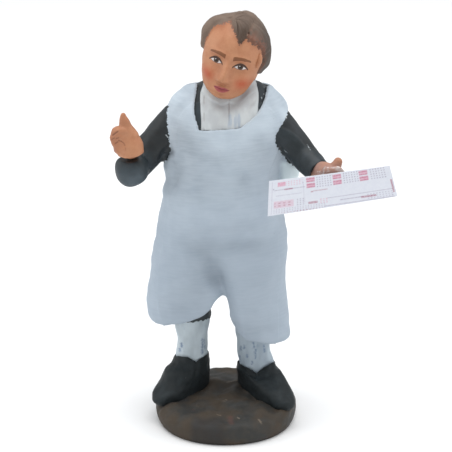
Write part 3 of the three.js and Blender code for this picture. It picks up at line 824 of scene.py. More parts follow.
def dressed_body(finish):
    """Smock, jacket and sleeves pressed into one body, with a web of clay behind the left arm.
    The neck opening and the hollow of the right cuff are sunk into it by steps of their fields,
    and bells and soft lumps leave dents in the cloth."""
    sleeves = [skin(limb(ARMS[side], ARM_RADII[side], ends=(1, end), slices=90, stacks=110))
               for side, end in (("right", 0.8), ("left", -0.2))]
    web = skin(limb([(8.2, 2.6, 47.0), (10.3, 2.4, 43.6), (9.0, 2.6, 38.0)], [1.6, 2.1, 1.4]))
    smock = carved(pressed([smock_form()], SMOCK_VOXEL), arch_cutter())
    points, faces = pressed([smock, *sleeves, web], BODY_VOXEL)
    points = relaxed(points, faces, rounds=9)
    out = normals(points, faces)
    opening = opening_field(points)
    sleeve = sleeve_field(points)
    x, y, z = points.T
    ahead = step(0, -1, y)
    dents = spot(x, z, -8.4, 43.6, 1.2, 1.3) + spot(x, z, 2.9, 44, 0.9, 1.1)
    armpit = stroke(points, (-9.2, -1.8, 47.3), (-10.3, -0.6, 46.2), 1.1)
    across, up = (seen(points) - [-15.45, 45.75]).T
    hollow = (1 - np.hypot(across / 1.75, up / 0.85)) * step(-2.0, -3.0, y)
    cloth = 1 - step(-0.5, 0.3, opening)
    depth = (-SMOCK_THICKNESS * step(-0.12, 0.14, opening) + 0.10 * bump(opening + 0.25, 0.25)
             - 0.12 * bump(sleeve, 0.2) - 0.3 * dents * ahead - 0.4 * step(-0.8, 0.6, armpit) * ahead
             - 0.5 * step(-0.2, 0.5, hollow)
             + cloth * (0.10 * lumps(points, 7.0, 3) + 0.04 * lumps(points, 2.2, 4)))
    points = points + depth[:, None] * out
    # Painted sheen on the front of the right forearm, and paler black at the neck opening.
    forearm = 1 - np.linalg.norm((points - [-15.3, -5.6, 44.3]) / [3.3, 3.4, 3.2], axis=1)
    at_neck = step(0, 0.3, opening) * (0.35 + 0.25 * step(0, 3, x))
    behind_arm = step(8.6, 9.6, x) * step(-1.5, 0.5, y) * step(3.8, 2.8, y)
    fields = {
        "sleeve": sleeve,
        "opening": opening,
        # Painted shade in the armpit.
        "armpit_shade": step(-0.7, 0.5, armpit) * ahead,
        "shade": smock_shade(points),
        # Painted light on the web behind the left arm.
        "pale": behind_arm * step(45.5, 44.5, z) * step(38, 40, z),
        "sheen_and_pale_neck": np.clip(step(0, 0.6, forearm) + at_neck, 0, 1),
        # Painted shadow in the hollow of the right cuff.
        "hollow": step(-0.15, 0.2, hollow),
        "dabs": np.where(y < 2.2, strokes(seen(points), STRAY_PAINT), NOWHERE),
        # A smear of white paint that is also painted light over the shadow of the opening's edge.
        "smear_and_lit_edge": step(-0.6, 0.4, stroke(seen(points), (3.2, 52.0), (4.9, 53.3), 0.8)) * ahead,
    }
    piece("dressed_body", points, faces, finish, "clay_figure", fields)


# Shirt and collar

# How square a ring of the shirt is, as the power of a superellipse.
BOX_SQUARE = 26


def shirt_front(x, z):
    """Depth of the shirt's face: just under the smock's own front, where a ring is a
    superellipse, and leaning back towards the neck."""
    depth = between(50, 58, [6.65, 6.3, 5.6, 4.5, 3.4], z)
    under = 0.12 + 0.22 * step(51.9, 51.3, z)
    ring = (1 - np.abs((x - CHEST_X) / CHEST_HALF) ** SMOCK_SQUARE) ** (1 / SMOCK_SQUARE)
    return BODY_Y - depth * ring + under


def shirt_and_collar(finish):
    """Rings of a flat box with rounded corners, whose face follows shirt_front. Two collar flaps
    stand a little proud over a curve of height that dips either side of the middle. The face has
    a seam and a placket, as narrow bells."""
    z = np.linspace(50.9, 59.2, 170)[:, None]
    left = between(51, 59, [-4.05, -4.0, -4.1, -4.1, -3.3], z)
    right = between(51, 59, [5.0, 5.0, 5.15, 5.2, 4.7], z)
    swing = np.linspace(-np.pi / 2, np.pi / 2, 240)[None, :]
    across = np.sin(swing)
    level = (1 - np.abs(across) ** BOX_SQUARE) ** (1 / BOX_SQUARE)
    x = (left + right) / 2 + across * (right - left) / 2
    face = shirt_front(x, z)
    edge = between(-4, 5, [57.4, 56.6, 56.0, 55.6, 55.9, 55.7, 56.2, 57.1, 57.6], x)
    collar = step(-0.25, 0.25, z - edge)
    under = bump(z - edge + 0.3, 0.5)
    seam = bump(x - 0.48, 0.1) * step(52.2, 53.9, z) * (1 - collar)
    meeting = bump(x - 0.5, 0.14) * collar
    placket = bump(x + 3.5, 0.1) * step(57.1, 56.9, z) * step(-0.5, 0.5, np.sin(2.6 * z))
    folds = lumps(np.stack(np.broadcast_arrays(1.6 * x, face, 0.8 * z), axis=-1), 2.6, 11)
    face = face - (0.16 * collar - 0.04 * under - 0.06 * seam - 0.08 * meeting - 0.04 * placket
                   + 0.05 * folds)
    hidden_y = 1.5
    points = np.stack(np.broadcast_arrays(x, hidden_y + (face - hidden_y) * level, z), axis=-1)
    behind = np.stack(np.broadcast_arrays(x[:, ::-1], np.full_like(x, hidden_y + 0.1), z), axis=-1)
    ring = np.concatenate([points, behind[:, 1:-1:8]], axis=1)
    lids = [np.broadcast_to(ring[k].mean(axis=0), ring[k].shape) for k in (0, -1)]
    # Painted shade under the collar, on its right wing, in the seam, meeting and placket lines, and low
    # on the shirt's face.
    shade = (0.5 * spot(x, z, -1.0, 55.3, 1.1, 0.7) + 0.1 * under
             + 0.7 * seam + 0.3 * meeting + 0.6 * placket
             + 1.1 * bump(z - 56.6 - 0.83 * (x - 2.6), 0.85) * bump(x - 2.8, 2.2)
             + 0.3 * bump(z - 55.6 - 0.9 * (x - 4.3), 0.4) * bump(x - 4.3, 0.8)
             + 0.35 * bump(x + 3.75, 0.25) * step(52.8, 51.8, z)
             + 0.2 * step(55.8, 52, z) * bump(x + 0.6, 1.2))
    blue = np.max([0.5 - np.hypot(wide * (x - place), 0.5 * (z - 53.2))
                   for place, wide in ((0.65, 1.6), (1.5, 1.9), (2.05, 1.7))], axis=0)
    patch = 0.5 - np.hypot(x - 3.2, 0.6 * (z - 53.4)) / 1.3
    hidden = np.zeros((len(z), ring.shape[1] - x.shape[1]))
    fields = {}
    for name, values in (("shade", shade), ("blue", blue), ("patch", patch)):
        values = np.concatenate([values, hidden], axis=1)
        fields[name] = spread(np.concatenate([values[:1], values, values[-1:]]))
    points, faces = skin(np.concatenate([lids[0][None], ring, lids[1][None]]))
    piece("shirt_and_collar", points, faces, finish, "clay_figure", fields)


# Legs, shoes and base

# Each stocking: rows of height, middle and radius; blue dabs of a place across and up as the front
# shows it, length and width; and its light and dark paint.
STOCKINGS = {
    "right_stocking": {
        "rows": [(4.0, -5.6, 2.2), (8.0, -5.8, 2.58), (9.6, -5.9, 2.7), (11.3, -5.75, 2.56),
                 (13.3, -5.75, 2.6), (15.3, -5.8, 2.93), (18.0, -5.75, 3.0), (21.0, -5.7, 3.0)],
        "dabs": [(-7.58, 12.3, 0.6, 0.42), (-7.85, 11.5, 0.4, 0.36), (-4.05, 11.1, 0.6, 0.3),
                 (-4.0, 12.1, 0.6, 0.3), (-4.0, 13.1, 0.7, 0.3), (-3.65, 12.0, 0.5, 0.24),
                 (-3.7, 13.0, 0.5, 0.24)],
        "light": srgb(194, 205, 211),
        "dark": srgb(176, 187, 193),
    },
    "left_stocking": {
        "rows": [(3.6, 4.9, 2.2), (6.8, 5.2, 2.7), (8.3, 5.2, 2.9), (10.3, 4.77, 2.83),
                 (12.3, 4.65, 2.8), (14.3, 4.5, 2.95), (17.0, 4.5, 3.0), (21.0, 4.5, 3.0)],
        "dabs": [(2.57, 11.7, 0.6, 0.26), (3.1, 12.05, 0.45, 0.26), (4.68, 12.9, 0.5, 0.28),
                 (4.75, 12.1, 0.4, 0.24), (5.0, 11.1, 0.7, 0.28), (5.0, 10.2, 0.4, 0.24),
                 (2.31, 10.1, 0.5, 0.26), (2.4, 9.5, 0.4, 0.2), (6.53, 11.4, 0.5, 0.28),
                 (6.5, 12.3, 0.4, 0.22), (4.43, 9.2, 0.4, 0.2), (3.6, 10.5, 0.4, 0.2)],
        # The left stocking's paint is darker than the right's: painted shade on the same white paint.
        "light": srgb(178, 191, 200),
        "dark": srgb(158, 171, 182),
    },
}
# Each shoe: the leg it stands under, the way it turns and how far, in radians, its length ahead of
# the ankle, the height of its plain mouth, which the rim then bends, the height of the rim every 30
# degrees from behind and round again, the V in the rim as a place in degrees and a depth, the
# middle and radius of the ankle, and how much fuller it is over the instep.
SHOES = {
    "right_shoe": {
        "x": RIGHT_LEG_X, "outward": -1, "splay": 0.58, "front": 9.9, "mouth": 9.0,
        "rim": [10.4, 9.7, 9.2, 9.2, 9.9, 10.35, 10.3, 10.2, 10.0, 9.85, 10.0, 10.3, 10.4],
        "dip": (16, 0.95), "ankle": (-5.93, 2.83), "fuller": 0,
    },
    "left_shoe": {
        "x": LEFT_LEG_X, "outward": 1, "splay": 0.48, "front": 11.7, "mouth": 8.0,
        "rim": [8.6, 8.2, 7.9, 8.0, 8.4, 8.5, 8.6, 8.8, 8.9, 8.1, 8.3, 8.9, 9.2],
        "dip": (0, 1.1), "ankle": (5.15, 3.12), "fuller": 0.2,
    },
}
BREECHES_LOW = 16.8
BREECHES_TOP = 25.0


def stocking(name, rows, dabs, light, dark):
    """Round rings up a leg, with soft lumps. The dabs are short upright strokes of the place from
    the front."""
    rings = [[z, x, LEG_Y, radius, radius, radius] for z, x, radius in rows]
    points, faces = skin(level_stack(rings, slices=150, stacks=120))
    points = points + 0.06 * lumps(points, 2.2, 21)[:, None] * normals(points, faces)
    blue = strokes(seen(points), [((x, v), (x, v + long), wide) for x, v, long, wide in dabs])
    blue = np.where(points[:, 1] < LEG_Y, blue, NOWHERE)
    finish = stocking_finish(name + "_paint", light, dark)
    piece(name, points, faces, finish, "clay_figure", {"dabs": blue})


def breeches(name, x, finish):
    """The leg of the breeches: rings a little proud of the stocking, from a lower edge that lumps
    make ragged up into the smock."""
    wide = LEG_RADIUS + 0.4
    heights = (BREECHES_LOW, BREECHES_LOW + 3, BREECHES_TOP)
    rows = [[height, x, LEG_Y, wide, wide, wide] for height in heights]
    points, faces = skin(level_stack(rows, slices=200, stacks=90))
    points = points + 0.05 * lumps(points, 1.2, 23)[:, None] * normals(points, faces)
    around = points * [1, 1, 0]
    ragged = lumps(around, 0.9, 24) + 0.7 * lumps(around, 2.4, 25)
    fading = step(BREECHES_LOW + 2, BREECHES_LOW, points[:, 2])
    points[:, 2] = points[:, 2] + 0.16 * ragged * fading
    piece(name, points, faces, finish, "clay_figure")


def shoe(name, finish, x, outward, splay, front, mouth, rim, dip, ankle, fuller):
    """Level rings of a soft high-fronted shoe, turned outwards by splay. Its rim follows a curve
    of height round the ankle, with a V cut into it over the instep by a falling exponential."""
    middle, radius = ankle
    toe_top = 6.2
    instep = toe_top + 0.55 * (mouth - toe_top)
    rows = [
        [3.3, 0.3 * outward, 0, 2.85, front - 0.8, 3.1],
        [4.2, 0.5 * outward, 0, 3.2, front, 3.5],
        [5.2, 0.5 * outward, 0, 3.25, front - 0.4, 3.5],
        [toe_top, 0.4 * outward, 0, 3.2, front - 2.4, 3.4],
        [instep, 0.25 * outward, 0, 3.15 + fuller, 5.9 + fuller, 3.4],
        [mouth - 0.5, 0.1 * outward, 0, 3.05 + fuller, 4.0 + 2 * fuller, 3.2],
        [mouth + 0.6, 0, 0, radius, radius + 0.15, radius],
    ]
    points = level_stack(rows, ends=(0, -0.6), square=2.25, slices=200, stacks=150)
    px, py, pz = np.moveaxis(points, -1, 0)
    turn = outward * splay
    shift = step(5.5, mouth, pz)
    across = (px * np.cos(turn) - py * np.sin(turn) + (x + outward * 0.2) * (1 - shift)
              + middle * shift)
    along = px * np.sin(turn) + py * np.cos(turn)
    around = np.degrees(np.arctan2(across - middle, -along))
    cut = dip[1] * np.exp(-np.abs(around - dip[0]) / 16)
    level = between(-180, 180, rim, around) - cut
    pz = pz + (level - mouth - 0.6) * step(6.0, mouth + 0.6, pz)
    points, faces = skin(np.stack([across, along + LEG_Y, pz], axis=-1))
    out = normals(points, faces)
    points = points + (0.08 * lumps(points, 3.2, 31) + 0.03 * lumps(points, 1.1, 32))[:, None] * out
    flat = points - [x, LEG_Y, 0]
    marks = stroke(flat, (0.3 * outward, -5.2, 7.6), (1.6 * outward, -5.0, 7.3), 0.14)
    piece(name, points, faces, finish, "clay_figure", {"marks": marks})


# Strokes on the base, from above.
BASE_SCRATCHES = [((-0.1, -3.0), (0.15, -3.2), 0.3), ((-1.5, -8.9), (-0.9, -9.2), 0.3),
                  ((1.9, -9.5), (2.2, -9.7), 0.3), ((5.3, -9.9), (5.8, -10.5), 0.3),
                  ((0.2, 3.9), (2.0, 3.8), 0.3), ((-0.4, -3.6), (-0.2, -3.8), 0.3)]
BASE_RED = [((0.7, -9.6), (0.9, -11.4), 0.8), ((-5.5, -6.6), (-5.4, -6.7), 0.3)]
# The first dark stroke lies beside the right shoe: painted shadow.
BASE_DARK = [((-9.8, -4.0), (-6.9, -2.9), 1.3), ((-4.0, -11.6), (-1.6, -11.8), 3.0)]


def base(finish):
    """A profile turned about the upright axis: flat below, a bellied edge and a low crown above.
    Its radius wanders by two cosines of the turn and is a little longer to the front, and lumps,
    scratches and strokes of red and dark paint lie on its top."""
    rows = [[0.0, 0.0], [0.45, 0.0], [0.9, 0.0], [0.962, 0.25], [0.99, 1.0], [1.0, 2.0],
            [0.985, 2.9], [0.94, 3.5], [0.86, BASE_HEIGHT - 0.05], [0.5, BASE_HEIGHT + 0.14],
            [0.0, BASE_HEIGHT + 0.18]]
    profile = evenly(rows @ np.diag([BASE_RADIUS, 1]), count=110)
    slices = 300
    angle = TAU * np.arange(slices) / slices
    wander = 0.99 - 0.012 * np.cos(4 * angle) + 0.006 * np.cos(3 * angle - 1)
    radius = profile[:, :1] * wander
    points = np.stack([1.035 * radius * np.cos(angle) - 0.05, 1.065 * radius * np.sin(angle) - 0.35,
                       np.broadcast_to(profile[:, 1:], radius.shape)], axis=-1)
    points, faces = skin(points)
    above = step(1.5, 3.2, points[:, 2])
    relief = 0.24 * lumps(points, 4.4, 41) + 0.07 * lumps(points, 2.0, 42)
    points = points + (above * relief)[:, None] * normals(points, faces)
    points[:, 2] = np.maximum(0, points[:, 2])
    flat = points[:, :2]
    marks = strokes(flat, BASE_SCRATCHES)
    fields = {
        "marks": np.where(points[:, 2] > 2, marks, NOWHERE),
        "red": step(-0.3, 0.3, strokes(flat, BASE_RED)),
        "dark": step(-1.0, 0.6, strokes(flat, BASE_DARK)),
    }
    piece("base", points, faces, finish, "clay_figure", fields)


# Hands

def finger(path, radii):
    """A slim limb along a path."""
    return skin(limb(path, radii, side=(0, 1, 0), slices=28, stacks=32))


def near(points, spots):
    """The most of several bells of the distance, each given by its place and its width."""
    return np.max([bump(np.linalg.norm(points - place, axis=1), width) for place, width in spots],
                  axis=0)


def hand(name, forms, creases, ruddy, glazed, finish):
    """Palm, fingers and thumb pressed together and rubbed smooth, with creases scored in. Paint
    is ruddy on the thumb and fingers and pale under glue, by bells about their places."""
    points, faces = pressed(forms, HAND_VOXEL)
    points = relaxed(points, faces, rounds=24)
    out = normals(points, faces)
    groove = step(-0.12, 0.14, strokes(seen(points), creases)) * (out[:, 1] < 0.3)
    points = points + (0.03 * lumps(points, 1.4, 51) - 0.12 * groove)[:, None] * out
    fields = {"crease": groove, "ruddy": near(points, ruddy), "pale": near(points, glazed)}
    piece(name, points, faces, finish, "clay_figure", fields)


def right_hand(finish):
    """Held up half closed: a broad palm sitting on the cuff, four curled fingers one under the
    other and a raised thumb."""
    wrist = skin(limb([(-15.2, -3.3, 46.9), (-15.2, -3.9, 48.0), (-15.2, -4.9, 49.2)],
                      [0.9, 0.95, 1.2]))
    palm = skin(limb([(-15.05, -5.9, 48.5), (-15.3, -5.9, 50.2), (-15.9, -6.0, 51.7)],
                     [2.0, 1.95, 1.5], thick=1.02, side=(1, 0, 0), ends=(0.22, 1)))
    edge = skin(limb([(-16.05, -5.8, 48.75), (-16.7, -6.0, 50.3), (-17.0, -6.1, 51.8)],
                     [1.3, 1.4, 1.3], side=(1, 0, 0), ends=(0.5, 1)))
    curled = []
    for row, out in enumerate([0.0, -0.3, -0.05, 0.25]):
        z = 52.35 - 0.92 * row
        curled.append(finger([(-16.3 + out, -6.0, z - 0.15), (-17.4 + out, -6.6, z - 0.1),
                              (-16.3 + out, -7.2, z + 0.3)], [0.85, 0.85, 0.75]))
    thumb = finger([(-15.2, -6.1, 51.4), (-15.85, -6.4, 53.0), (-16.1, -6.5, 54.2),
                    (-16.2, -6.5, 54.95)], [1.42, 1.06, 0.78, 0.5])
    creases = [((-17.83, 49.35), (-17.05, 49.9), 0.26), ((-18.03, 48.6), (-17.6, 48.85), 0.2),
               ((-17.3, 48.75), (-16.9, 48.88), 0.18), ((-17.5, 47.95), (-17.1, 48.2), 0.18),
               ((-16.9, 48.45), (-16.85, 48.4), 0.2), ((-16.6, 48.35), (-16.1, 47.95), 0.16),
               ((-16.1, 47.95), (-15.95, 47.6), 0.12), ((-15.9, 47.2), (-15.85, 46.8), 0.06)]
    ruddy = [((-16.1, -6.8, 53.9), 1.5), ((-18.0, -7.2, 52.2), 1.5), ((-17.9, -7.2, 50.7), 1.4)]
    glazed = [((-17.9, -7.4, 49.4), 0.4)]
    hand("right_hand", [wrist, palm, edge, *curled, thumb], creases, ruddy, glazed, finish)


def left_hand(finish):
    """Open behind the paper: a palm, four straight fingers and a short thumb."""
    palm = skin(limb([(14.5, -3.6, 44.8), (16.3, -5.8, 45.0), (18.2, -7.3, 44.5)],
                     [1.3, 1.42, 1.2], thick=1.3))
    straight = []
    for row, reach in enumerate([19.7, 20.3, 20.2, 19.6]):
        z = 45.5 - 1.05 * row
        straight.append(finger([(17.4, -7.3, z), (19.0, -7.95, z - 0.1), (reach, -8.3, z - 0.3)],
                               [0.7, 0.68, 0.5]))
    thumb = finger([(16.9, -5.6, 45.4), (17.55, -6.0, 46.5), (17.88, -6.0, 47.12)], [1.15, 0.92, 0.74])
    creases = [((17.6, z - 2.5), (20.5, z - 3.0), 0.2) for z in (45.1, 44.05, 43.0)]
    glazed = [((14.9, -5.0, 45.6), 1.8), ((16.2, -6.9, 45.6), 2.0), ((17.8, -7.4, 45.9), 1.4)]
    ruddy = [((17.9, -6.4, 47.2), 1.2)]
    hand("left_hand", [palm, *straight, thumb], creases, ruddy, glazed, finish)


def glue_dab(finish):
    """A flattened drop between the hand and the paper, with soft lumps."""
    path = [(14.9, -6.2, 45.2), (16.2, -7.2, 45.9), (17.5, -7.5, 46.2), (18.6, -8.0, 46.0)]
    radii = [0.5, 0.82, 0.7, 0.42]
    points, faces = skin(limb(path, radii, thick=0.62, side=(0, 1, 0), slices=80, stacks=90))
    points = points + 0.13 * lumps(points, 1.6, 61)[:, None] * normals(points, faces)
    piece("glue", points, faces, finish, "clay_figure")


# Head

# Places in the head's own frame, where the face looks along -Y. Where the hair is fuller or
# thinner: how much, about which place and how far.
HAIR_FULLNESS = [(0.28, (0.6, 1.0, 7.2), 3.0), (0.26, (-0.2, 1.2, 7.1), 1.4),
                 (0.2, (1.2, 1.0, 7.0), 1.4), (-0.3, (-2.2, 1.0, 6.5), 1.4),
                 (0.3, (-4.6, 0.6, 5.0), 1.9), (0.7, (-5.8, 0.0, 2.9), 2.0),
                 (0.4, (5.8, 1.0, 1.6), 2.2), (-0.45, (4.9, -1.4, -1.0), 1.3)]
# Strokes: creases by the parting, and pale flecks.
HAIR_CREASES = [((-0.6, -0.2, 6.6), (0.0, -1.9, 6.3), 0.3), ((0.0, -1.9, 6.3), (0.2, -2.6, 5.9), 0.24),
                ((-0.3, -1.6, 6.4), (-0.9, -2.3, 5.9), 0.2), ((1.6, -2.9, 5.3), (3.2, -0.4, 5.6), 0.26),
                ((0.3, -2.5, 5.9), (1.4, -2.9, 5.4), 0.2)]
HAIR_FLECKS = [((-1.95, -2.3, 5.7), (-1.65, -2.3, 5.8), 0.16),
               ((-1.35, -2.3, 5.85), (-1.15, -2.3, 5.9), 0.12),
               ((1.5, -3.3, 5.1), (1.6, -3.2, 5.15), 0.2),
               ((3.4, -2.3, 4.5), (3.6, -2.2, 4.5), 0.14),
               ((1.9, -3.9, 4.3), (2.1, -3.8, 4.25), 0.14),
               ((1.45, -4.1, 4.3), (1.5, -4.0, 4.6), 0.1)]
# The middle of each ear.
EARS = {"left_ear": (4.42, -2.15, 1.2), "right_ear": (-4.5, 1.4, -1.3)}


def from_head(points):
    """Places in the head's own frame as places on the figure: turned, then moved."""
    return points @ turned(*HEAD_TURNS).T + HEAD_CENTRE


def skull(z):
    """Half width and depths to front and back at height z: powers of the height over and under
    the eyes, so that the crown is round and the jaw narrows."""
    above = np.maximum(0, z) / CROWN_TOP
    below = np.maximum(0, -z) / CHIN
    dome = np.sqrt(np.maximum(0, 1 - above ** 2.7))
    chin = np.sqrt(np.maximum(0, 1 - below ** 9))
    return (HEAD_HALF_WIDTH * dome * chin * (1 - 0.33 * below ** 1.5),
            FACE_DEPTH * dome * chin * (1 - 0.08 * below ** 2),
            BACK_DEPTH * dome * chin * (1 - 0.62 * below ** 1.1))


def face_relief(x, z):
    """How far a calm, plain face of even proportions stands out: bells for each feature."""
    side = np.abs(x)
    nose_height = 1.45 * step(1.8, -2.1, z) ** 1.1 * step(-3.35, -2.35, z)
    nose = nose_height * bump(x, 0.6 + 0.36 * step(0, -2.4, z))
    wings = 0.55 * spot(side, z, 0.8, -2.4, 0.38, 0.5)
    sockets = -0.65 * spot(side, z, EYE_X - 0.1, 0.15, 1.15, 0.85)
    lids = 0.42 * spot(side, z, EYE_X, 0.05, 0.85, 0.45)
    brows = 0.36 * spot(side, z, 1.9, 1.4, 1.6, 0.5)
    cheeks = 0.45 * spot(side, z, 2.8, -2.2, 1.3, 1.2)
    lip_shape = bump(x, 1.2)
    lips = lip_shape * (0.34 * bump(z - MOUTH_Z - 0.3, 0.4) + 0.38 * bump(z - MOUTH_Z + 0.38, 0.45))
    parting = -0.14 * lip_shape * bump(z - MOUTH_Z, 0.14)
    chin = 0.6 * spot(x, z, 0, -5.6, 1.6, 0.95)
    under_lip = -0.2 * spot(x, z, 0, -4.95, 1.0, 0.36)
    return nose + wings + sockets + lids + brows + cheeks + lips + parting + chin + under_lip


def face_fields(x, z, front):
    """Signed distances, positive inside each painted feature, from parabolas for lids, brows and
    lips and circles for the irises, and soft bells of shade beside the raised features."""
    side = np.abs(x)
    dx = (side - EYE_X) / EYE_HALF
    upper = 0.5 * (1 - dx ** 2)
    lower = -0.34 * (1 - dx ** 2)
    eye = np.minimum(upper - z, z - lower)
    reach = 1 - np.abs(dx)
    looking = np.hypot(side - EYE_X, z - 0.08)
    brow_x = side - 2.0
    brow_z = 1.5 - 0.15 * (brow_x + 0.05) ** 2
    rise = z - MOUTH_Z
    wide = (x / MOUTH_HALF) ** 2
    top = 0.42 * (1 - wide) - 0.12 * bump(x, 0.24)
    bottom = -0.56 * (1 - wide)
    hidden = np.where(front, 0.0, -5.0)
    shade = (0.8 * spot(x, z, 0, -3.0, 1.0, 0.34)
             + 0.5 * spot(side, z, 0.95, -1.6, 0.4, 1.3)
             + 0.6 * spot(side, z, EYE_X - 0.1, 0.85, 1.1, 0.4)
             + 0.3 * spot(side, z, EYE_X, -0.7, 1.0, 0.3)
             + 0.5 * spot(x, z, 0, MOUTH_Z - 0.95, 1.1, 0.26)
             + 0.5 * step(-5.4, -6.4, z))
    return {
        "eye_white": eye + hidden,
        "iris": np.minimum(0.43 - looking, eye + 0.05) + hidden,
        "pupil": 0.2 - looking + hidden,
        "glint": 0.09 - np.hypot(x - np.sign(x) * EYE_X + 0.14, z - 0.24) + hidden,
        "lid": np.minimum(0.15 + 0.06 * reach - np.abs(z - upper), (reach + 0.18) * 0.9) + hidden,
        "under_lid": np.minimum(0.06 - np.abs(z - lower), reach * 0.9) + hidden,
        "brow": np.minimum(0.26 - 0.08 * brow_x - np.abs(z - brow_z), 1.35 - np.abs(brow_x)) + hidden,
        "lips": np.minimum(top - rise, rise - bottom) + hidden,
        "mouth_line": np.minimum(0.06 - np.abs(rise - 0.03 * bump(x, 0.5)), 1.3 - side) + hidden,
        "blush": np.where(front, spot(side, z, 2.9, -2.6, 1.15, 1.05), 0.0),
        "shade": np.where(front, np.clip(shade, 0, 1), 0.0),
    }


def hair_field(x, y, z):
    """How far inside the hair a place on the skull lies. At the front the hairline is a height by
    x, with its peak at the parting and a lock beside it, and behind the temples the hair falls to
    a height by the angle from the face. The two are joined by a smooth maximum."""
    fringe = between(-5.4, 5.4, [1.6, 3.7, 4.6, 5.1, 5.75, 5.3, 4.6, 3.95, 4.3, 3.9, 3.45, 2.5, 1.0], x)
    fringe = fringe - 0.35 * bump(x - 0.9, 0.42) + 0.35 * bump(x - 1.6, 0.22)
    fringe = fringe - step(1.6, 2.2, x) * 0.12 * np.sin(7 * x)
    front = (z - fringe) * 0.8
    angle = np.arctan2(x, -y)
    turn = np.abs(angle)
    right_nape = between(1.1, np.pi, [0.9, -0.2, -0.6, -2.6, -3.3, -3.4], turn)
    left_nape = between(1.1, np.pi, [-1.0, -1.5, -2.3, -3.1, -3.4, -3.4], turn)
    nape = np.where(angle < 0, right_nape, left_nape)
    temple = 1.31 + 0.05 * step(0, -1, x) + 0.05 * np.sin(1.7 * z)
    side = np.minimum((turn - temple) * 5, z - nape)
    return np.logaddexp(4 * front, 4 * side) / 4


def strands(x, y, z):
    """Depth between the locks, 0 on their backs and 1 in the grooves: one less the roots of sines
    of the angle about the parting, bent with the distance from it. The right side is smoother."""
    dx, dy, dz = x + 1.0, y + 1.6, z - 6.2
    around = np.arctan2(dx, -dy) + 0.12 * np.sqrt(dx ** 2 + dy ** 2 + dz ** 2)
    bend = lumps(np.stack([x, y, z], axis=-1), 4.5, 71)
    broad = np.abs(np.sin(3.5 * around + 1.0 * bend + 0.5)) ** 0.6
    fine = np.abs(np.sin(12 * around + 2.4 * bend)) ** 0.7
    calm = 0.12 + 0.88 * step(-1.4, -0.2, x + 1.6 * step(0, 2.5, y))
    calm = calm * (1 - 0.5 * bump(np.hypot(x - 0.6, y - 0.8), 2.2))
    return calm * (1 - 0.78 * broad - 0.22 * fine)


def head(finish):
    """Rings round a skull whose meridian is resampled at equal lengths. The face stands out by
    face_relief, and the hair by its thickness, fuller or thinner about chosen places and scored
    between its locks."""
    z = np.linspace(-CHIN, CROWN_TOP, 400)
    width, _, _ = skull(z)
    meridian = np.stack([width, z], axis=1)
    length = np.concatenate([[0], np.cumsum(np.linalg.norm(np.diff(meridian, axis=0), axis=1))])
    rings, slices = 236, 370
    z = np.interp(np.linspace(0, length[-1], rings), length, z)[:, None]
    width, ahead, behind = skull(z)
    turn = TAU * np.arange(slices)[None, :] / slices
    angle = turn - 0.35 * np.cos(turn)
    c, s = np.cos(angle), np.sin(angle)
    x, y = c * width, s * np.where(s < 0, ahead, behind)
    z = np.broadcast_to(z, x.shape)
    open_face = step(0, 0.35, -s)
    y = y - face_relief(x, z) * open_face * step(-CHIN, -CHIN + 0.3, z)
    hair = hair_field(x, y, z)
    groove = strands(x, y, z)
    thin = 0.8 * bump(hair - 0.3, 0.5) * step(1.2, 1.8, x) * step(0.0, 0.3, -s)
    thin = np.maximum(thin, bump(hair - 0.05, 0.12) * step(0.3, 0.5, -s) * 0.8)
    lock = bump(np.hypot(x - 0.5, 0.9 * (z - 5.1)), 1.2) + spot(x, z, 1.0, 4.3, 0.6, 0.9)
    painted = {
        "dark_lock": lock * step(0.0, 0.3, -s),
        "thin": thin,
        # Painted shade on the right side of the hair.
        "right_side": step(1.2, 4.2, x) * step(7.0, 5.4, z),
        "rim_shade": step(-0.9, 0.0, hair) * step(0.0, 0.3, -s) * (0.35 + 0.6 * step(0.0, -3.0, x)),
    }
    fields = {name: spread(values) for name, values in face_fields(x, z, -s > 0.2).items()}
    fields |= {name: spread(values) for name, values in painted.items()}
    points, faces = skin(np.stack([x, y, z], axis=-1))
    out = normals(points, faces)
    inside = spread(hair)
    score = spread(groove)
    crown = step(0.0, 0.4, inside)
    mass = HAIR_THICKNESS * (0.55 + 0.45 * step(0.2, 2.2, inside))
    relief = crown * (mass - 0.38 * score + 0.05 * lumps(points, 1.6, 72))
    relief = relief + 0.02 * lumps(points, 1.8, 73)
    for amount, place, width in HAIR_FULLNESS:
        away = np.linalg.norm(points + out * mass[:, None] - place, axis=1)
        relief = relief + amount * bump(away, width) * step(-0.2, 0.8, inside)
    points = points + relief[:, None] * out
    crease = step(-0.12, 0.12, strokes(points, HAIR_CREASES)) * crown
    points = points - 0.22 * crease[:, None] * out
    # Painted shade in the grooves and creases of the hair.
    fields |= {"hair": inside, "groove": np.clip(1.2 * score + crease, 0, 1),
               "flecks": strokes(points, HAIR_FLECKS)}
    piece("head", from_head(points), faces, finish, "clay_figure", fields)


def ear(name, place, finish):
    """A small flattened oval against the head, under the edge of the hair."""
    outward = np.sign(place[0])
    path = np.array([(-0.1 * outward, -0.05, -0.75), (0.05 * outward, 0, 0),
                     (-0.08 * outward, 0.1, 0.8)]) + place
    points, faces = skin(limb(path, [0.4, 0.54, 0.44], thick=0.8, side=(1, 0, 0)))
    piece(name, from_head(points), faces, finish, "clay_figure")


# Paper

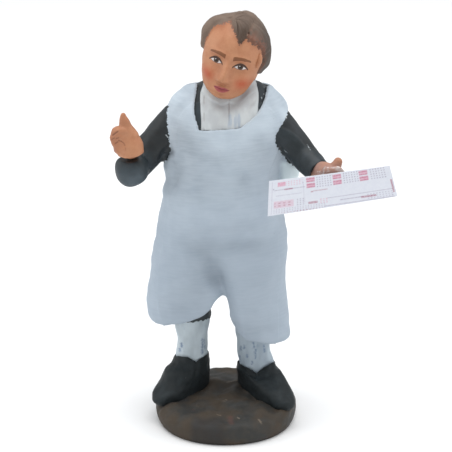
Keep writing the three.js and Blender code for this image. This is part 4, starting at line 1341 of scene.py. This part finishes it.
# The print, in millimetres along and up the slip: the left lower corners of the striped bars and
# their sizes, then for each ink how dark it is and its blocks and ticks. Each of those has a share,
# the two ends, the bottom and the top, and a softer block its softness, or ticks their pitch and
# the number of rows.
BAR_PLACES = [(6.25, 4.42), (6.25, 3.52), (10.6, 4.32), (10.6, 3.42), (14.9, 4.32), (14.9, 3.42)]
BAR_LENGTH = 1.4
BAR_HEIGHT = 0.72
BAR_LINE = 0.18
PRINT = {
    "pink_ink": {
        "dark": 0.75,
        "blocks": [(1, 1.5, 2.8, 4.35, 5.0), (0.5, 0.9, 4.1, 0.95, 2.05, 0.1)]
                  + [(1, low, low + BAR_LENGTH, bottom, bottom + BAR_HEIGHT)
                     for low, bottom in BAR_PLACES],
        "ticks": [(0.7, 2.9, 5.6, 4.25, 5.1, 0.46, 3), (0.7, 8.1, 9.6, 0.75, 1.6, 0.46, 3)],
    },
    "grey_ink": {
        "dark": 0.6,
        "blocks": [(1, 0.9, 6.0, 3.75, 3.86), (0.7, 1.2, 5.4, 2.85, 2.94),
                   (1, 9.4, 19.7, 1.45, 1.55), (1, 8.8, 19.7, 0.2, 0.32),
                   (1, 11.4, 15.0, 0.85, 1.0), (0.5, 0.52, 0.64, 0.1, 5.2),
                   (0.5, 5.72, 5.82, 1.3, 4.3), (1, 0.72, 0.92, 3.9, 4.1), (1, 5.6, 5.8, 4.4, 4.6)],
        "ticks": [(1, 7.85, 10.55, 3.35, 5.15, 0.44, 5), (1, 12.2, 14.9, 3.35, 5.15, 0.44, 5),
                  (1, 16.5, 19.2, 3.35, 5.15, 0.44, 5), (1, 4.4, 6.0, 0.95, 2.1, 0.46, 4),
                  (0.8, 0.9, 9.2, 0.1, 0.85, 0.42, 3), (0.8, 15.6, 19.7, 0.35, 1.3, 0.46, 3)],
    },
    "red_ink": {
        "dark": 0.65,
        "blocks": [(1, 2.6, 4.0, 3.68, 3.9), (1, 6.9, 7.3, 2.75, 2.95), (0.8, 7.3, 9.6, 2.85, 3.0),
                   (1, 14.6, 17.0, 0.7, 1.0), (1, 19.6, 19.9, 0.9, 3.0), (1, 6.4, 7.9, 0.95, 1.3)]
                  + [(0.8, low, low + BAR_LENGTH, bottom + rise, bottom + rise + BAR_LINE)
                     for low, bottom in BAR_PLACES for rise in (0.0, 0.42)],
        "ticks": [(0.7, 1.0, 4.0, 1.1, 1.9, 0.8, 2), (1, 2.2, 8.6, 0.0, 0.2, 0.5, 1)],
    },
}


def block(along, up, low, high, bottom, top, soft=0.06):
    """1 inside an upright oblong and 0 outside it: the product of a rising and a falling step each
    way."""
    return (step(low - soft, low + soft, along) * (1 - step(high - soft, high + soft, along))
            * step(bottom - soft, bottom + soft, up) * (1 - step(top - soft, top + soft, up)))


def ticks(along, up, low, high, bottom, top, pitch, rows):
    """Rows of short upright ticks in a block: a step of a sine along it times one up it."""
    wave = step(-0.5, 0.5, np.sin(TAU * along / pitch))
    quarter = 1.57
    line = step(-0.5, 0.5, np.sin(TAU * rows * (up - bottom) / (top - bottom) - quarter))
    return block(along, up, low, high, bottom, top) * wave * line


def printing(along, up):
    """The print on the slip as one field for each ink: the sum of its blocks and ticks, up to 1,
    times how dark the ink is."""
    fields = {}
    for ink, print_of in PRINT.items():
        inked = sum(amount * block(along, up, *place) for amount, *place in print_of["blocks"])
        inked = inked + sum(amount * ticks(along, up, *place) for amount, *place in print_of["ticks"])
        fields[ink] = np.clip(inked, 0, 1) * print_of["dark"]
    return fields


def paper_slip(finish):
    """A thin strip as rings round its length: front and back sheets a little apart, narrower to
    the far end, bowed by a sine, with a slight curl at its far corners. The print is on its
    front."""
    across, lengths = 84, 330
    rise = np.linspace(-0.5, 0.5, across)
    loop_up = np.concatenate([rise, rise[::-1]])
    loop_side = np.concatenate([np.full(across, 0.5), np.full(across, -0.5)])
    along = np.concatenate([[0], np.linspace(0, 1, lengths), [1]])[:, None]
    closing = np.ones((len(along), 1))
    closing[[0, -1]] = 0
    up = loop_up * closing * (SLIP_NEAR_END + (SLIP_FAR_END - SLIP_NEAR_END) * along)
    x = (along - 0.5) * SLIP_LENGTH + up * (0.2 - 0.3 * along)
    y = -SLIP_BOW * np.sin(np.pi * along) - loop_side * closing * SLIP_THICKNESS
    y = y - 0.25 * step(0.6, 1.0, along) * (up / SLIP_FAR_END) ** 2
    placed = np.stack([x, y, up], axis=-1) @ turned(*SLIP_TURNS).T + SLIP_CENTRE
    half = (SLIP_NEAR_END + SLIP_FAR_END) / 4
    fields = printing(np.broadcast_to(along * SLIP_LENGTH, up.shape), up + half)
    front = np.broadcast_to(loop_side > 0, up.shape)
    fields = {name: spread(np.where(front, values, 0)) for name, values in fields.items()}
    points, faces = skin(placed)
    piece("printed_slip", points, faces, finish, "paper_slip", fields)


# Stage

FLOOR_RADIUS = 4.0
FLOOR_CORNERS = 96
CAMERA_ELEVATION = 19.82
CAMERA_DISTANCE = 0.3
CAMERA_AIM = Vector((0, 0, 0.0341))
CAMERA_LENS = 144.9
LAMP_AIM = Vector((0, 0, 0.035))
SKY = (0.96, 0.98, 1.0, 1.0)
SKY_STRENGTH = 0.62
# Each soft box, in metres and watts: place, size and power.
SOFTBOXES = {
    "overhead": ((0.03, -0.03, 0.6), 0.5, 2.6),
    "left_side": ((-0.5, 0.0, 0.25), 0.4, 0.8),
    "right_side": ((0.5, 0.0, 0.25), 0.4, 0.55),
}


def floor():
    """A wide pale disc under the object."""
    angle = TAU * np.arange(FLOOR_CORNERS) / FLOOR_CORNERS
    ring = np.stack([np.cos(angle), np.sin(angle), np.zeros(FLOOR_CORNERS)], axis=-1)
    made = holder("floor", FLOOR_RADIUS * ring, np.arange(FLOOR_CORNERS)[None, :])
    finish = Finish("floor_white", Roughness=0.9, Specular_IOR_Level=0.2)
    tone = finish.ramp(finish.noise(60.0, 2.0), 0.2, 0.8)
    colour = finish.mix(tone, srgb(244, 244, 244), srgb(247, 247, 247))
    made.data.materials.append(finish.done(colour))


def softbox(name, place, size, power):
    """A square lamp that looks at the middle of the figure."""
    lamp = bpy.data.lights.new(name, "AREA")
    lamp.size = size
    lamp.energy = power
    made = bpy.data.objects.new(name, lamp)
    bpy.context.collection.objects.link(made)
    made.location = place
    made.rotation_euler = (LAMP_AIM - Vector(place)).to_track_quat("-Z", "Y").to_euler()


def lights():
    """A pale even sky and the soft boxes."""
    world = bpy.data.worlds.new("studio")
    bpy.context.scene.world = world
    world.use_nodes = True
    sky = world.node_tree.nodes["Background"].inputs
    sky["Color"].default_value = SKY
    sky["Strength"].default_value = SKY_STRENGTH
    for name, (place, size, power) in SOFTBOXES.items():
        softbox(name, place, size, power)


def camera():
    """A long lens in front of the figure and a little over it, turned down to its middle."""
    elevation = np.radians(CAMERA_ELEVATION)
    lens = bpy.data.cameras.new("photo_view")
    lens.sensor_width = 36.0
    lens.lens = CAMERA_LENS
    lens.clip_start = 0.01
    made = bpy.data.objects.new("photo_view", lens)
    bpy.context.collection.objects.link(made)
    back = Vector((0, -np.cos(elevation), np.sin(elevation)))
    made.location = CAMERA_AIM + back * CAMERA_DISTANCE
    made.rotation_euler = (CAMERA_AIM - made.location).to_track_quat("-Z", "Y").to_euler()
    bpy.context.scene.camera = made
    bpy.context.scene.view_settings.view_transform = "Standard"


camera()
lights()
floor()
dressed_body(dressed_finish())
shirt_and_collar(shirt_finish())
for name, sizes in STOCKINGS.items():
    stocking(name, **sizes)
breeches("right_breeches", RIGHT_LEG_X, breeches_finish())
shoe_paint = shoe_finish()
for name, sizes in SHOES.items():
    shoe(name, shoe_paint, **sizes)
base(base_finish())
skin_paint = hand_finish()
right_hand(skin_paint)
left_hand(skin_paint)
glue_dab(glue_finish())
head(head_finish())
for name, place in EARS.items():
    ear(name, place, skin_paint)
paper_slip(paper_finish())
